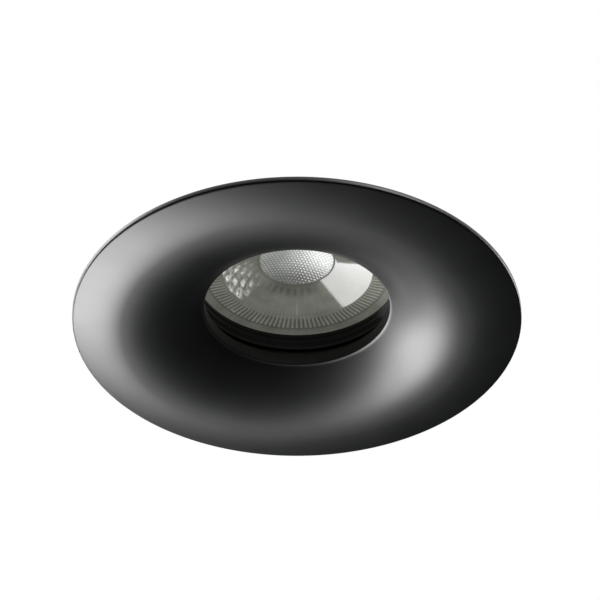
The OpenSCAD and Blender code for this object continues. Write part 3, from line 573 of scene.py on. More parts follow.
@dataclass(frozen=True)
class LensFinish(Finish):
    """Clear polycarbonate over a pale reflector, with a painted glow: the mesh's tone sets how bright the
    emission is that stands in for light coming back through it.

    Faint streaks run outwards. Where the reflection's strength is above zero, a painted reflection of the
    facetted reflector lies on one side of the well as slanting pale bricks, with a row of faint dashes of
    painted shade under the disc and a fine line of brighter painted glow below them. Radii are millimetres,
    and angles are turns unless a name says degrees.
    """

    # painted glow: this emission colour stands in for the light that the clear lens gathers and scatters
    glow: Colour = (0.129, 0.132, 0.112)
    streak_count: float = 190
    streak_stretch: float = 0.12
    patch_scale: float = 260
    patch_gloss: float = 0.04
    body_gain: float = 1.3
    # painted reflection of the facetted reflector: its strength, colour, place and the shape of its bricks
    painted_reflection: float = 0.0
    reflection_colour: Colour = (0.78, 0.8, 0.75)
    reflection_turn: float = 0.2
    reflection_halves: tuple[float, float] = (0.0465, 0.0713)
    reflection_band: tuple[float, ...] = (9.5, 17.5, 18.3, 18.8)
    reflection_facet_mm: float = 2.6
    reflection_facet_degrees: float = 11.3
    reflection_start_degrees: float = 9.5
    reflection_skew_degrees: float = 3.0
    reflection_haze: float = 0.22
    # painted shade in short dashes and a band under the disc, and a line of brighter painted glow
    dash_turn: float = 0.77
    dash_half: float = 0.06
    dash_count: float = 41
    dash_band: tuple[float, ...] = (10.2, 10.9, 12.2, 13.2)
    dash_depth: float = 0.2
    shade_mm: tuple[float, float] = (10.6, 14)
    shade_depth: float = 0.3
    line_turn: float = 0.75
    line_halves: tuple[float, float] = (0.001, 0.0026)
    line_band: tuple[float, ...] = (13.6, 15.5, 17.6, 18.6)
    line_light: float = 0.3

    def material(self) -> Material:
        """The lens's plastic as a material.

        Returns:
            The new material.
        """
        tree, shader, place, material = self.start()
        tone = tree.add("Attribute", attribute_name="tone").outputs["Fac"]
        polar = tree.group("round_places", Vector=place)
        radius, turn = polar.outputs["Radius"], polar.outputs["Turn"]
        stretched = tree.place(tree.times(turn, self.streak_count), tree.times(radius, self.streak_stretch))
        streaks, patches = tree.noise(stretched, 1, 3), tree.noise(place, self.patch_scale, 3)
        light = tree.times(tone, tree.ramp(streaks, 0.25, 0.75, 0.93, 1.07),
                           tree.ramp(patches, 0.3, 0.7, 0.9, 1.1))
        if self.painted_reflection:
            light = tree.times(light, self.dashes(tree, radius, turn))
        # painted glow: tone, streaks and patches set how bright it is
        glow = tree.mix(light, (0, 0, 0), self.glow)
        glow.node.clamp_factor = False
        if self.painted_reflection:
            # painted reflection of the facetted reflector, mixed into the glow as pale bricks
            glow = tree.mix(tree.times(self.reflection_blocks(tree, radius, turn), self.painted_reflection), glow, self.reflection_colour)
        paler = tuple(c * self.body_gain for c in self.colour)
        tree.put(shader.inputs["Base Color"], tree.mix(patches, self.colour, paler))
        tree.put(shader.inputs["Emission Color"], glow)
        tree.put(shader.inputs["Emission Strength"], 1.0)
        rough = tree.ramp(patches, 0.3, 0.7, self.roughness, self.roughness + self.patch_gloss)
        tree.put(shader.inputs["Roughness"], rough)
        self.relieve(tree, shader, streaks)
        return material

    def dashes(self, tree: Tree, radius: Socket, turn: Socket) -> Socket:
        """A factor on the painted glow: painted shade in a row of short lines and a band under the disc, and
        one brighter radial line.

        Args:
            tree: The material's tree.
            radius: The radius in millimetres.
            turn: The angle in turns.

        Returns:
            The factor, near 1.
        """
        near = tree.ramp(tree.apart(turn, self.dash_turn), self.dash_half, self.dash_half * 2, 1, 0)
        row = tree.math("PINGPONG", tree.times(turn, self.dash_count), 0.5)
        dash = tree.times(tree.ramp(row, 0.12, 0.3, 1, 0), tree.band(radius, self.dash_band), near)
        shade = tree.times(tree.ramp(radius, *self.shade_mm, 1, 0), near)
        line = tree.times(tree.ramp(tree.apart(turn, self.line_turn), *self.line_halves, 1, 0),
                          tree.band(radius, self.line_band))
        lightened = tree.math("MULTIPLY_ADD", line, self.line_light, 1.0)
        shaded = tree.math("SUBTRACT", lightened, tree.times(shade, self.shade_depth))
        return tree.math("SUBTRACT", shaded, tree.times(dash, self.dash_depth))

    def reflection_blocks(self, tree: Tree, radius: Socket, turn: Socket) -> Socket:
        """A mask of the painted reflection's pale bricks: rows that slant round the axis, cut into bricks
        along the radius.

        A row's number is the angle plus the skew times the radius, over the width of a facet. Each row's
        bricks start half a brick on from those of the row before.

        Args:
            tree: The material's tree.
            radius: The radius in millimetres.
            turn: The angle in turns.

        Returns:
            The mask, from 0 to 1.
        """
        local = tree.math("FRACT", tree.math("SUBTRACT", turn, self.line_turn))
        degrees = tree.math("MULTIPLY_ADD", local, 360.0, self.reflection_start_degrees)
        slant = tree.math("MULTIPLY_ADD", radius, self.reflection_skew_degrees, degrees)
        rows = tree.math("DIVIDE", slant, self.reflection_facet_degrees)
        across = tree.apart(tree.math("FRACT", rows), 0.5)
        bricks = tree.math("DIVIDE", radius, self.reflection_facet_mm)
        along = tree.math("FRACT", tree.math("MULTIPLY_ADD", tree.math("FLOOR", rows), 0.5, bricks))
        uneven = tree.noise(tree.place(tree.times(rows, 1.6), tree.times(radius, 0.7)), 1.7, 3)
        brick = tree.times(tree.ramp(across, 0.1, 0.4, 1, 0), tree.ramp(along, 0.05, 0.9),
                           tree.ramp(uneven, 0.3, 0.55))
        block = tree.math("MULTIPLY_ADD", brick, 0.8, tree.ramp(uneven, 0.35, 0.65, 0, self.reflection_haze))
        near = tree.ramp(tree.apart(local, self.reflection_turn), *self.reflection_halves, 1, 0)
        return tree.times(block, near, tree.band(radius, self.reflection_band))


class Finishes:
    """Every finish of the fitting, each made once."""

    LIST = (
        LacquerFinish("satin_black_lacquer", (0.0005, 0.0009, 0.0011), 0.4, relief=0.0012,
                      gloss_wander=0.012),
        Finish("black_cast_metal", (0.012, 0.012, 0.0125), 0.5, surface=Surface.CAST, relief=0.012),
        Finish("seal_silicone", (0.007, 0.011, 0.0113), 0.3, ior=1.45, relief=0.0006, gloss_wander=0.02),
        FoamFinish("gasket_foam", (0.02, 0.02, 0.02), 0.85, relief=0.06, wander=0.5, slow_scale=120),
        Finish("zinc_plate", (0.58, 0.6, 0.62), 0.3, 1, surface=Surface.ROLLED, relief=0.0025, wander=0.1),
        Finish("bright_steel", (0.55, 0.55, 0.56), 0.24, 1, surface=Surface.DRAWN, relief=0.002, wander=0.1),
        Finish("spring_wire", (0.42, 0.42, 0.43), 0.26, 1, surface=Surface.DRAWN, relief=0.002, wander=0.14),
        Finish("cast_aluminium", (0.62, 0.63, 0.64), 0.42, 1, surface=Surface.CAST, relief=0.01, wander=0.08),
        BoardFinish("white_board", (0.8, 0.8, 0.78), 0.4, relief=0.02, slow_scale=150),
        Finish("phosphor", (0.75, 0.55, 0.08), 0.35, relief=0.004, wander=0.08, coat=0.4),
        Finish("chip_epoxy", (0.015, 0.015, 0.016), 0.45, relief=0.003),
        Finish("silicone_pad", (0.33, 0.4, 0.46), 0.7),
        Finish("white_nylon", (0.72, 0.72, 0.69), 0.42, relief=0.004, wander=0.05),
        Finish("box_nylon", (0.02, 0.02, 0.021), 0.46, surface=Surface.CAST, relief=0.008, wander=0.15),
        Finish("lead_sleeve", (0.68, 0.67, 0.62), 0.6, relief=0.01, wander=0.08),
        Finish("brass", (0.76, 0.56, 0.25), 0.28, 1, surface=Surface.DRAWN, relief=0.002, wander=0.1),
        Finish("foot_rubber", (0.018, 0.018, 0.018), 0.6),
        # the lens's two finishes carry a painted glow in their emission
        LensFinish("clear_lens", (0.03, 0.03, 0.027), 0.045, ior=1.35, relief=0.0004, painted_reflection=1.0),
        LensFinish("lens_honeycomb", (0.04, 0.04, 0.04), 0.25, relief=0.0003, glow=(0.127, 0.132, 0.125)),
    )

    def __init__(self) -> None:
        """Makes the shared effects and then every material."""
        make_grain_group()
        make_drawn_group()
        make_round_group()
        self.made = {finish.name: finish.material() for finish in self.LIST}

    def on(self, piece: Piece, name: str) -> Piece:
        """Gives a piece or a CAD node a finish, in the material slots of its object.

        Args:
            piece: The object.
            name: The finish's name.

        Returns:
            The same object.
        """
        if not piece.material_slots:
            piece.data.materials.append(self.made[name])
        for slot in piece.material_slots:
            slot.material = self.made[name]
        return piece

    def dress(self, nodes: Mapping[str, str]) -> None:
        """Gives CAD nodes their finishes.

        Args:
            nodes: The finish's name, by the node's name.
        """
        for node, name in nodes.items():
            self.on(frame["nodes"][node], name)
            LOG.info("%s keeps its CAD shape, in %s", node, name)


def place_piece(piece: Piece, body: str, slot: str, *nodes: str) -> None:
    """Rides a finished piece on its body, and hides the CAD nodes it stands for.

    Args:
        piece: The finished piece.
        body: The body that it moves with.
        slot: Not used.
        nodes: The CAD nodes that it stands for.
    """
    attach(piece, body)
    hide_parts(*nodes)
    LOG.info("%s stands for %s, %d faces", piece.name, ", ".join(nodes), len(piece.data.polygons))


# ---- the fitting


@dataclass
class Trim:
    """The satin black trim, a shallow doughnut with a collar, its three screw bosses and its foam gasket."""

    finishes: Finishes
    rim_r: float = 55
    rim_z: float = -1.5
    crown_r: float = 43
    crown_h: float = 2.5
    opening_r: float = 22.85
    opening_z: float = 4.4
    outer_power: float = 1.78
    inner_power: float = 2.27
    wall: float = 1.6
    collar_r: float = 24.45
    collar_z: float = 7.5
    rim_round: float = 0.42
    land_w: float = 0.4
    land_slope: float = 0.36
    channel_r: float = 47.3
    channel_t: float = 1.4
    channel_z: float = -0.2
    boss_ring_r: float = 33.5
    boss_r: float = 3.2
    boss_z: float = 5.4
    pilot_r: float = 1.25
    pilot_depth: float = 5
    boss_angles: tuple[float, ...] = (90, 210, 330)
    collar_edge: float = 0.15
    flange_edge: float = 0.2
    boss_edge: float = 0.2
    foam_gap: float = 0.1
    foam_edge: float = 0.12
    foam_lift: float = 0.02

    def face(self, radius: Array | float) -> Array:
        """Height of the face: the crown's, plus a rise to either edge by a power of the share of the way.

        Args:
            radius: One radius or many.

        Returns:
            The height at each radius.
        """
        radius = np.asarray(radius, dtype=float)
        crown_z = self.rim_z - self.crown_h
        outwards = np.clip((radius - self.crown_r) / (self.rim_r - self.crown_r), 0, None)
        inwards = np.clip((self.crown_r - radius) / (self.crown_r - self.opening_r), 0, None)
        return (crown_z + self.crown_h * outwards**self.outer_power
                + (self.opening_z - crown_z) * inwards**self.inner_power)

    def back(self, radius: Array | float) -> Array:
        """Height of the back: the face's, plus the wall divided by the cosine of the face's slope.

        Args:
            radius: One radius or many.

        Returns:
            The height at each radius.
        """
        step = 0.01
        slope = (self.face(np.asarray(radius) + step) - self.face(np.asarray(radius) - step)) / (2 * step)
        return self.face(radius) + self.wall * np.sqrt(1 + slope**2)

    def outline(self) -> Array:
        """The trim's cross-section.

        Returns:
            The (radius, height) points in order round it.
        """
        outer, inner = self.rim_r - self.rim_round, self.opening_r + self.land_w
        land_z = float(self.face(inner)) + self.land_slope * self.land_w
        wall_r, slot_r, edge = self.rim_r - self.wall, self.channel_r - self.channel_t, self.collar_edge
        lip_r = np.linspace(outer, self.crown_r, 36)[1:]
        bowl_r = np.linspace(self.crown_r, inner, 60)[1:-1]
        back_in = np.linspace(self.collar_r, slot_r, 28)
        back_out = np.linspace(self.channel_r, wall_r, 8)
        return np.concatenate([
            corner((self.rim_r, self.rim_z + self.rim_round), (self.rim_r, self.rim_z),
                   (outer, self.face(outer))),
            np.column_stack([lip_r, self.face(lip_r)]),
            np.column_stack([bowl_r, self.face(bowl_r)]),
            corner((inner, self.face(inner)), (self.opening_r, land_z), (self.opening_r, land_z + edge)),
            [(self.opening_r, self.collar_z - edge), (self.opening_r + edge, self.collar_z),
             (self.collar_r - edge, self.collar_z), (self.collar_r, self.collar_z - edge)],
            np.column_stack([back_in, self.back(back_in)]),
            [(slot_r, self.channel_z), (self.channel_r, self.channel_z)],
            np.column_stack([back_out, self.back(back_out)]),
            [(wall_r, 0), (self.rim_r - self.flange_edge, 0), (self.rim_r, -self.flange_edge)],
        ])

    def bosses(self) -> Piece:
        """The three bosses with their pilot holes, as one mesh: each is a small turned outline.

        The first two rings, which are its root, stand at the face's height plus half the wall.

        Returns:
            The bosses.
        """
        edge, floor = self.boss_edge, self.boss_z - self.pilot_depth
        outline = np.array([
            (0, 0), (self.boss_r, 0), (self.boss_r, self.boss_z - edge), (self.boss_r - edge, self.boss_z),
            (self.pilot_r + edge, self.boss_z), (self.pilot_r, self.boss_z - edge), (self.pilot_r, floor),
            (0, floor)])
        columns = 48
        turn = np.linspace(0, 2 * math.pi, columns, endpoint=False)
        radius, height = outline[:, :1], outline[:, 1:]
        ring = np.stack(np.broadcast_arrays(radius * np.cos(turn), radius * np.sin(turn), height), axis=-1)
        faces = grid_faces(len(outline), columns, False, True)
        angles = np.radians(self.boss_angles)
        centres = self.boss_ring_r * np.column_stack([np.cos(angles), np.sin(angles), 0 * angles])
        points = ring.reshape(1, -1, 3) + centres[:, None]
        root = points[:, :2 * columns]
        root[..., 2] = self.face(np.hypot(root[..., 0], root[..., 1])) + self.wall / 2
        count = np.arange(len(angles))[:, None, None] * ring.size // 3
        return make_piece("trim_bosses", points.reshape(-1, 3), (faces[None] + count).reshape(-1, 4))

    def gasket(self) -> Piece:
        """The foam ring: flat on the soffit's side, and following the trim's back on the other.

        Returns:
            The foam ring.
        """
        inner, outer = self.channel_r + self.foam_gap, self.rim_r - self.wall - self.foam_gap
        radii = np.linspace(inner, outer, 10)
        edge = self.foam_edge
        outline = np.concatenate([
            np.column_stack([radii, self.back(radii) + self.foam_lift]),
            [(outer, -edge), (outer - edge, 0), (inner + edge, 0), (inner, -edge)]])
        return turned("foam_gasket", outline)

    def build(self) -> None:
        """Makes the trim, its bosses and its gasket, and dresses them."""
        for piece in (turned("black_trim", self.outline(), 50), self.bosses()):
            place_piece(self.finishes.on(piece, "satin_black_lacquer"), FITTING, "black_metal", "trim_ring")
        place_piece(self.finishes.on(self.gasket(), "gasket_foam"), FITTING, "gasket_foam", "soffit_gasket")


@dataclass
class LampSeal:
    """The glossy ring in front of the lamp, with two fine ridges on its inside."""

    finishes: Finishes
    inner_r: float = 25.35
    outer_r: float = 26.35
    front_z: float = 12
    lamp_z: float = 15.5
    lip_z: float = 18.4
    lip_r: float = 25.55
    ridge_r: float = 0.17
    ridge_shares: tuple[float, ...] = (0.2, 0.69)
    edge: float = 0.25

    def build(self) -> None:
        """Makes the seal as one turned outline and dresses it."""
        angles = np.radians(np.linspace(-90, 90, 13))
        reach = self.lamp_z - self.front_z
        ridges = [np.column_stack([self.inner_r - self.ridge_r * np.cos(angles),
                                   self.front_z + share * reach + self.ridge_r * np.sin(angles)])
                  for share in self.ridge_shares]
        outline = np.concatenate([
            corner((self.inner_r + self.edge, self.front_z), (self.inner_r, self.front_z),
                   (self.inner_r, self.front_z + self.edge)),
            *ridges,
            [(self.inner_r, self.lamp_z), (self.lip_r, self.lamp_z), (self.lip_r, self.lip_z),
             (self.outer_r, self.lip_z), (self.outer_r, self.front_z + self.edge)],
            corner((self.outer_r, self.front_z + self.edge), (self.outer_r, self.front_z),
                   (self.outer_r - self.edge, self.front_z))[1:]])
        piece = self.finishes.on(turned("seal_ring", outline, 40), "seal_silicone")
        place_piece(piece, FITTING, "seal_rubber", "lamp_seal")


@dataclass
class Lens:
    """The lamp's clear lens: plain rim, ring of fine ribs, conical well and honeycomb disc.

    The tones say how bright the front's painted glow is: 1 is the well's, and the ribs' gaps, the groove
    round them and the rim are darker, a painted shade. lit_sides are the angles at which the rim and the ribs
    catch more painted light, and how much.
    """

    finishes: Finishes
    face_z: float = 15.5
    lamp_r: float = 25.5
    rib_r: float = 22.7
    rib_ir: float = 19.2
    rib_h: float = 0.3
    rib_back: float = 0.06
    rib_end: float = 0.5
    rib_count: int = 120
    rib_share: float = 0.66
    # painted glow on the ribs, and the painted shade that their gaps take
    rib_tone: float = 1.12
    rib_dip: float = 0.67
    groove_w: float = 0.35
    groove_edge: float = 0.08
    well_r: float = 19
    well_edge: float = 0.6
    # painted reflection of the ribs' gaps as dark stripes on the well's outer edge
    well_dip: float = 0.14
    stripe_r: float = 17.2
    stripe_fade: float = 0.8
    disc_r: float = 9.1
    disc_z: float = 19.4
    lip_w: float = 0.5
    lip_drop: float = 0.13
    bowl_h: float = 2.2
    flange_z: float = 17.1
    skirt_r: float = 21.8
    skirt_h: float = 1.4
    skirt_t: float = 1
    wall: float = 1.7
    back_tone: float = 0.6
    collimator_r: float = 6.2
    collimator_z: float = 27
    chip_hole_r: float = 3.2
    chip_hole_h: float = 2.6
    chip_hole_draft: float = 0.3
    chip_hole_rise: float = 0.4
    pillow_pitch: float = 0.87
    pillow_round: float = 0.95
    pillow_turn: float = 8
    pillow_steps: int = 6
    disc_t: float = 0.2
    disc_gap: float = 0.03
    disc_tone: float = 2.8
    # a painted highlight on the disc's glow, and painted shade at its cells' edges and on its far side
    highlight_tone: float = 2.8
    highlight_at: tuple[float, float] = (6, -1.5)
    highlight_r: float = 6
    cell_dip: float = 0.8
    cell_fill: float = 0.35
    far_shade_dip: float = 0.5
    far_shade_y: float = 3
    far_shade_fade: float = 4
    lit_sides: tuple[tuple[float, float], ...] = ((8, 0.9), (176, 0.32))
    lit_half: float = 28
    pip_angle: float = 136
    pip_r: float = 22.4
    pip_h: float = 0.12
    pip_tone: float = 1.7
    pip_square: float = 0.12

    def front(self) -> Array:
        """The front's outline from the disc to the rim, with its ribs and tones.

        The base follows the cone and the flats. The rib height is how far a rib's ridge stands out of it. The
        tone is how bright the painted glow is there, and the dip is how much of that the gaps between ribs
        lose, a painted shade.

        Returns:
            Rows of radius, base height, rib height, tone and dip.
        """
        band_z, tall = self.face_z + self.rib_h, self.rib_h - self.rib_back
        well_z = self.face_z + self.well_edge
        foot_r, foot_z = self.disc_r + self.lip_w, self.disc_z - self.lip_drop
        slope = (well_z - foot_z) / (self.well_r - foot_r)
        # painted glow: a brighter line round the disc's edge, then a darker ring
        lip = [(0, 0, 1.0), (0.08, 0.1, 1.25), (0.2, 0.12, 1.05), (0.3, self.lip_drop, 0.75),
               (self.lip_w - 0.05, self.lip_drop, 0.75), (self.lip_w, self.lip_drop + 0.01, 0.8)]
        well = np.linspace(foot_r + 0.8, self.well_r - 0.12, 26)
        # painted reflection of the ribs: their gaps' dark stripes carry on into the well's outer edge
        dips = self.well_dip * np.clip((well - self.stripe_r) / self.stripe_fade, 0, 1)
        cone = [(foot_r + 0.3, 0.8, 0), (foot_r + 0.5, 0.95, 0), *zip(well, np.ones(len(well)), dips)]
        end_r = self.rib_r - self.rib_end
        ribs = np.concatenate([np.linspace(self.rib_ir + 0.02, end_r, 16),
                               end_r + self.rib_end * np.sin(np.linspace(0.15, math.pi / 2, 8))])
        rim_r = self.rib_r + self.groove_w + self.groove_edge
        return np.array([
            *[(self.disc_r + out, self.disc_z - drop, 0, tone, 0) for out, drop, tone in lip],
            *[(r, foot_z + slope * (r - foot_r), 0, tone, dip) for r, tone, dip in cone],
            (self.well_r, well_z - 0.02, 0, 1.05, self.well_dip),
            (self.rib_ir - 0.05, band_z + 0.06, 0, 1.0, 0.3),
            (self.rib_ir, band_z, 0, 0.95, 0.4),
            *[(r, band_z, tall, self.rib_tone, self.rib_dip) for r in ribs],
            (self.rib_r + 0.1, band_z, 0, 0.65, 0.1),
            (self.rib_r + self.groove_w, band_z - 0.02, 0, 0.42, 0),
            (rim_r, self.face_z + 0.02, 0, 0.55, 0),
            (rim_r + 0.3, self.face_z, 0, 0.78, 0.07),
            (rim_r + 0.5, self.face_z, 0, 0.75, 0.08),
            (self.lamp_r - 0.5, self.face_z, 0, 0.74, 0.05),
            (self.lamp_r - 0.22, self.face_z, 0, 0.7, 0),
            (self.lamp_r - 0.07, self.face_z + 0.06, 0, 0.8, 0),
            (self.lamp_r, self.face_z + 0.22, 0, 0.6, 0),
        ], dtype=float)

    def behind(self) -> Array:
        """The rest of the outline: flange, skirt, collimator and the bowl's back.

        Returns:
            The (radius, height) points from the rim to the axis and out again to the disc.
        """
        bowl_r = np.linspace(0, self.disc_r, 8)
        skirt_ir, skirt_z = self.skirt_r - self.skirt_t, self.flange_z + self.skirt_h
        cone_z, hole_z = self.disc_z + self.wall, self.collimator_z - self.chip_hole_h
        return np.concatenate([[
            (self.lamp_r, self.flange_z), (self.skirt_r, self.flange_z), (self.skirt_r, skirt_z),
            (skirt_ir, skirt_z), (skirt_ir - 0.4, self.face_z + self.well_edge + self.wall),
            (self.disc_r + 0.9, cone_z - 0.2), (self.disc_r + 0.2, cone_z),
            (self.collimator_r, self.collimator_z), (self.chip_hole_r, self.collimator_z),
            (self.chip_hole_r - self.chip_hole_draft, hole_z), (0, hole_z - self.chip_hole_rise)],
            np.column_stack([bowl_r, self.bowl(bowl_r) + self.disc_t + self.disc_gap])])

    def bowl(self, radius: Array) -> Array:
        """Height of the disc: its edge's, plus the depth times one less the square of radius over edge."""
        return self.disc_z + self.bowl_h * (1 - (radius / self.disc_r) ** 2)

    def body(self) -> Piece:
        """The lens without its disc.

        The front is a grid of radius and angle. At each place a rib's ridge is a half round: its height times
        the root of one less the square of the distance from the rib's middle over the rib's half width, and
        the half width shrinks to nothing round the rib's outer end. A small pip stands out by its height
        times e to the power of less the squared distance from its middle over pip_square.

        Returns:
            The lens's body.
        """
        pitch = 360 / self.rib_count
        half_turn = self.rib_share * pitch / 2
        local = np.concatenate([half_turn * np.sin(np.radians(np.arange(-90, 91, 22.5))),
                                np.linspace(half_turn, pitch - half_turn, 5)[1:-1]])
        angles = (np.arange(self.rib_count)[:, None] * pitch + local).ravel()
        front, behind = self.front(), self.behind()
        radius, base, tall, plain, dip = (front[:, i:i + 1] for i in range(5))
        off = (angles + pitch / 2) % pitch - pitch / 2
        half_width = self.rib_share * math.tan(math.radians(pitch / 2))
        end_r = half_width * self.rib_r
        past = np.clip((radius - (self.rib_r - end_r)) / end_r, 0, 1)
        half = np.maximum(half_width * radius * np.sqrt(1 - past**2), 1e-4)
        ridge = np.sqrt(np.clip(1 - (radius * np.radians(off) / half) ** 2, 0, 1))
        # painted light: the rim and the ribs glow brighter round the angles in lit_sides
        lit = 1 + sum(gain * np.exp(-(((angles + 180 - at) % 360 - 180) / self.lit_half) ** 2)
                      for at, gain in self.lit_sides)
        aside = radius * np.radians(angles - self.pip_angle)
        pip = np.exp(-((radius - self.pip_r) ** 2 + aside**2) / self.pip_square)
        height = base - tall * ridge - self.pip_h * pip
        # painted glow: painted shade in the gaps between ribs, and painted light on the lit sides
        tone = (plain - dip * (1 - ridge)) * np.where(radius > self.well_r, lit, 1)
        # the pip's painted glow is brighter
        tone = np.maximum(tone, self.pip_tone * pip)
        radius = np.concatenate([radius, behind[:, :1]])
        height = np.concatenate([height, np.broadcast_to(behind[:, 1:], (len(behind), len(angles)))])
        tone = np.concatenate([tone, np.full((len(behind), len(angles)), self.back_tone)])
        turn = np.radians(angles)
        points = np.stack([radius * np.cos(turn), radius * np.sin(turn), height], axis=-1)
        faces = grid_faces(len(radius), len(angles), True, True)
        return make_piece("lens_body", points.reshape(-1, 3), faces, 40, tone)

    def disc(self) -> Piece:
        """The honeycomb disc: a triangle lattice on the bowl, raised as a round pillow in each cell.

        A place's cell is the nearest point of a hexagonal lattice. Its height is the bowl's, less the root of
        the pillow's radius squared less the distance to the cell's middle squared. Points outside the disc's
        edge are drawn in to it. The tone sets the disc's painted glow: painted shade makes it fall towards
        each cell's edge and towards the far side, and a painted highlight makes it rise towards one spot as e
        to the power of less the squared distance over the highlight's radius squared. The sides that only one
        face has are the disc's edge, and join the front to a smooth back.

        Returns:
            The disc.
        """
        step = self.pillow_pitch / self.pillow_steps
        reach = int(self.disc_r / step * 1.3)
        i, j = np.meshgrid(np.arange(-reach, reach + 1), np.arange(-reach, reach + 1), indexing="ij")
        turn = math.radians(self.pillow_turn)
        first = np.array([math.cos(turn), math.sin(turn)])
        second = np.array([math.cos(turn + math.pi / 3), math.sin(turn + math.pi / 3)])
        flat = (i[..., None] * first + j[..., None] * second) * step
        far = np.linalg.norm(flat, axis=-1)
        inside = far < self.disc_r - step / 2
        flat = np.where(inside[..., None], flat, flat * (self.disc_r / np.maximum(far, step))[..., None])
        rise, share = self.pillow(flat, first, second)
        height = self.bowl(np.minimum(far, self.disc_r)) - rise
        # painted highlight: the glow rises towards one side of the disc
        bright = np.exp(-((flat - np.array(self.highlight_at)) ** 2).sum(axis=-1) / self.highlight_r**2)
        # painted shade: the glow falls towards the far side
        low = 1 - self.far_shade_dip * np.clip((flat[..., 1] - self.far_shade_y) / self.far_shade_fade, 0, 1)
        # painted shade at each cell's edge, less where the highlight is
        dip = self.cell_dip - self.cell_fill * bright
        tone = (self.disc_tone + self.highlight_tone * bright) * low * (1 - dip * share)
        number = np.arange(far.size).reshape(far.shape)
        corners = [number[:-1, :-1], number[1:, :-1], number[1:, 1:], number[:-1, 1:]]
        faces = np.concatenate([np.stack([corners[0], corners[1], corners[3]], axis=-1).reshape(-1, 3),
                                np.stack([corners[1], corners[2], corners[3]], axis=-1).reshape(-1, 3)])
        faces = faces[inside.ravel()[faces].any(axis=1)]
        front = np.concatenate([flat.reshape(-1, 2), height.reshape(-1, 1)], axis=1)
        back = front.copy()
        back[:, 2] = self.bowl(np.linalg.norm(back[:, :2], axis=1)) + self.disc_t
        sides = np.sort(np.concatenate([faces[:, [0, 1]], faces[:, [1, 2]], faces[:, [2, 0]]]), axis=1)
        edges, uses = np.unique(sides, axis=0, return_counts=True)
        edges = edges[uses == 1]
        count = len(front)
        wall = np.concatenate([np.stack([edges[:, 0], edges[:, 1], edges[:, 1] + count], axis=1),
                               np.stack([edges[:, 0], edges[:, 1] + count, edges[:, 0] + count], axis=1)])
        used, faces = np.unique(np.concatenate([faces, faces + count, wall]), return_inverse=True)
        return make_piece("lens_disc", np.concatenate([front, back])[used], faces.reshape(-1, 3), 30,
                          np.tile(tone.ravel(), 2)[used])

    def pillow(self, flat: Array, first: Array, second: Array) -> tuple[Array, Array]:
        """How far each place's pillow stands out of the bowl.

        Args:
            flat: Places on the disc.
            first: One direction of the lattice.
            second: The direction 60 degrees on.

        Returns:
            The height of the pillow at each place, and the share of the way from its middle to its corners.
        """
        cell = np.linalg.solve(np.stack([first, second], axis=1), flat.reshape(-1, 2).T / self.pillow_pitch).T
        corners = np.floor(cell)[:, None] + np.array([(0, 0), (1, 0), (0, 1), (1, 1)])
        away = (cell[:, None] - corners) * self.pillow_pitch
        gap = np.linalg.norm(away[..., :1] * first + away[..., 1:] * second, axis=-1).min(axis=1)
        edge = self.pillow_pitch / math.sqrt(3)
        rise = np.sqrt(self.pillow_round**2 - gap**2) - math.sqrt(self.pillow_round**2 - edge**2)
        return rise.reshape(flat.shape[:-1]), (gap / edge).reshape(flat.shape[:-1]) ** 2

    def build(self) -> None:
        """Makes the lens's body and its disc, and dresses them."""
        place_piece(self.finishes.on(self.body(), "clear_lens"), FITTING, "lens", "lens")
        place_piece(self.finishes.on(self.disc(), "lens_honeycomb"), FITTING, "lens", "lens")


@dataclass
class Lamp:
    """The lamp's metal, board and cap behind the lens, with its cup and circlip."""

    finishes: Finishes
    nodes: dict[str, str] = field(default_factory=lambda: {
        "lamp_cup": "black_cast_metal", "cup_screws": "zinc_plate", "lamp_circlip": "spring_wire",
        "lamp_heat_sink": "cast_aluminium", "led_board": "white_board", "led_chip": "phosphor",
        "driver_chips": "chip_epoxy", "thermal_pad": "silicone_pad", "board_screws": "zinc_plate",
        "lamp_cap": "white_nylon", "lamp_leads": "lead_sleeve"})

    def build(self) -> None:
        """Dresses the lamp's nodes."""
        self.finishes.dress(self.nodes)


class Side(Enum):
    """Which of the two sprung clips, with the sign of its X and Y."""

    RIGHT = 1
    LEFT = -1


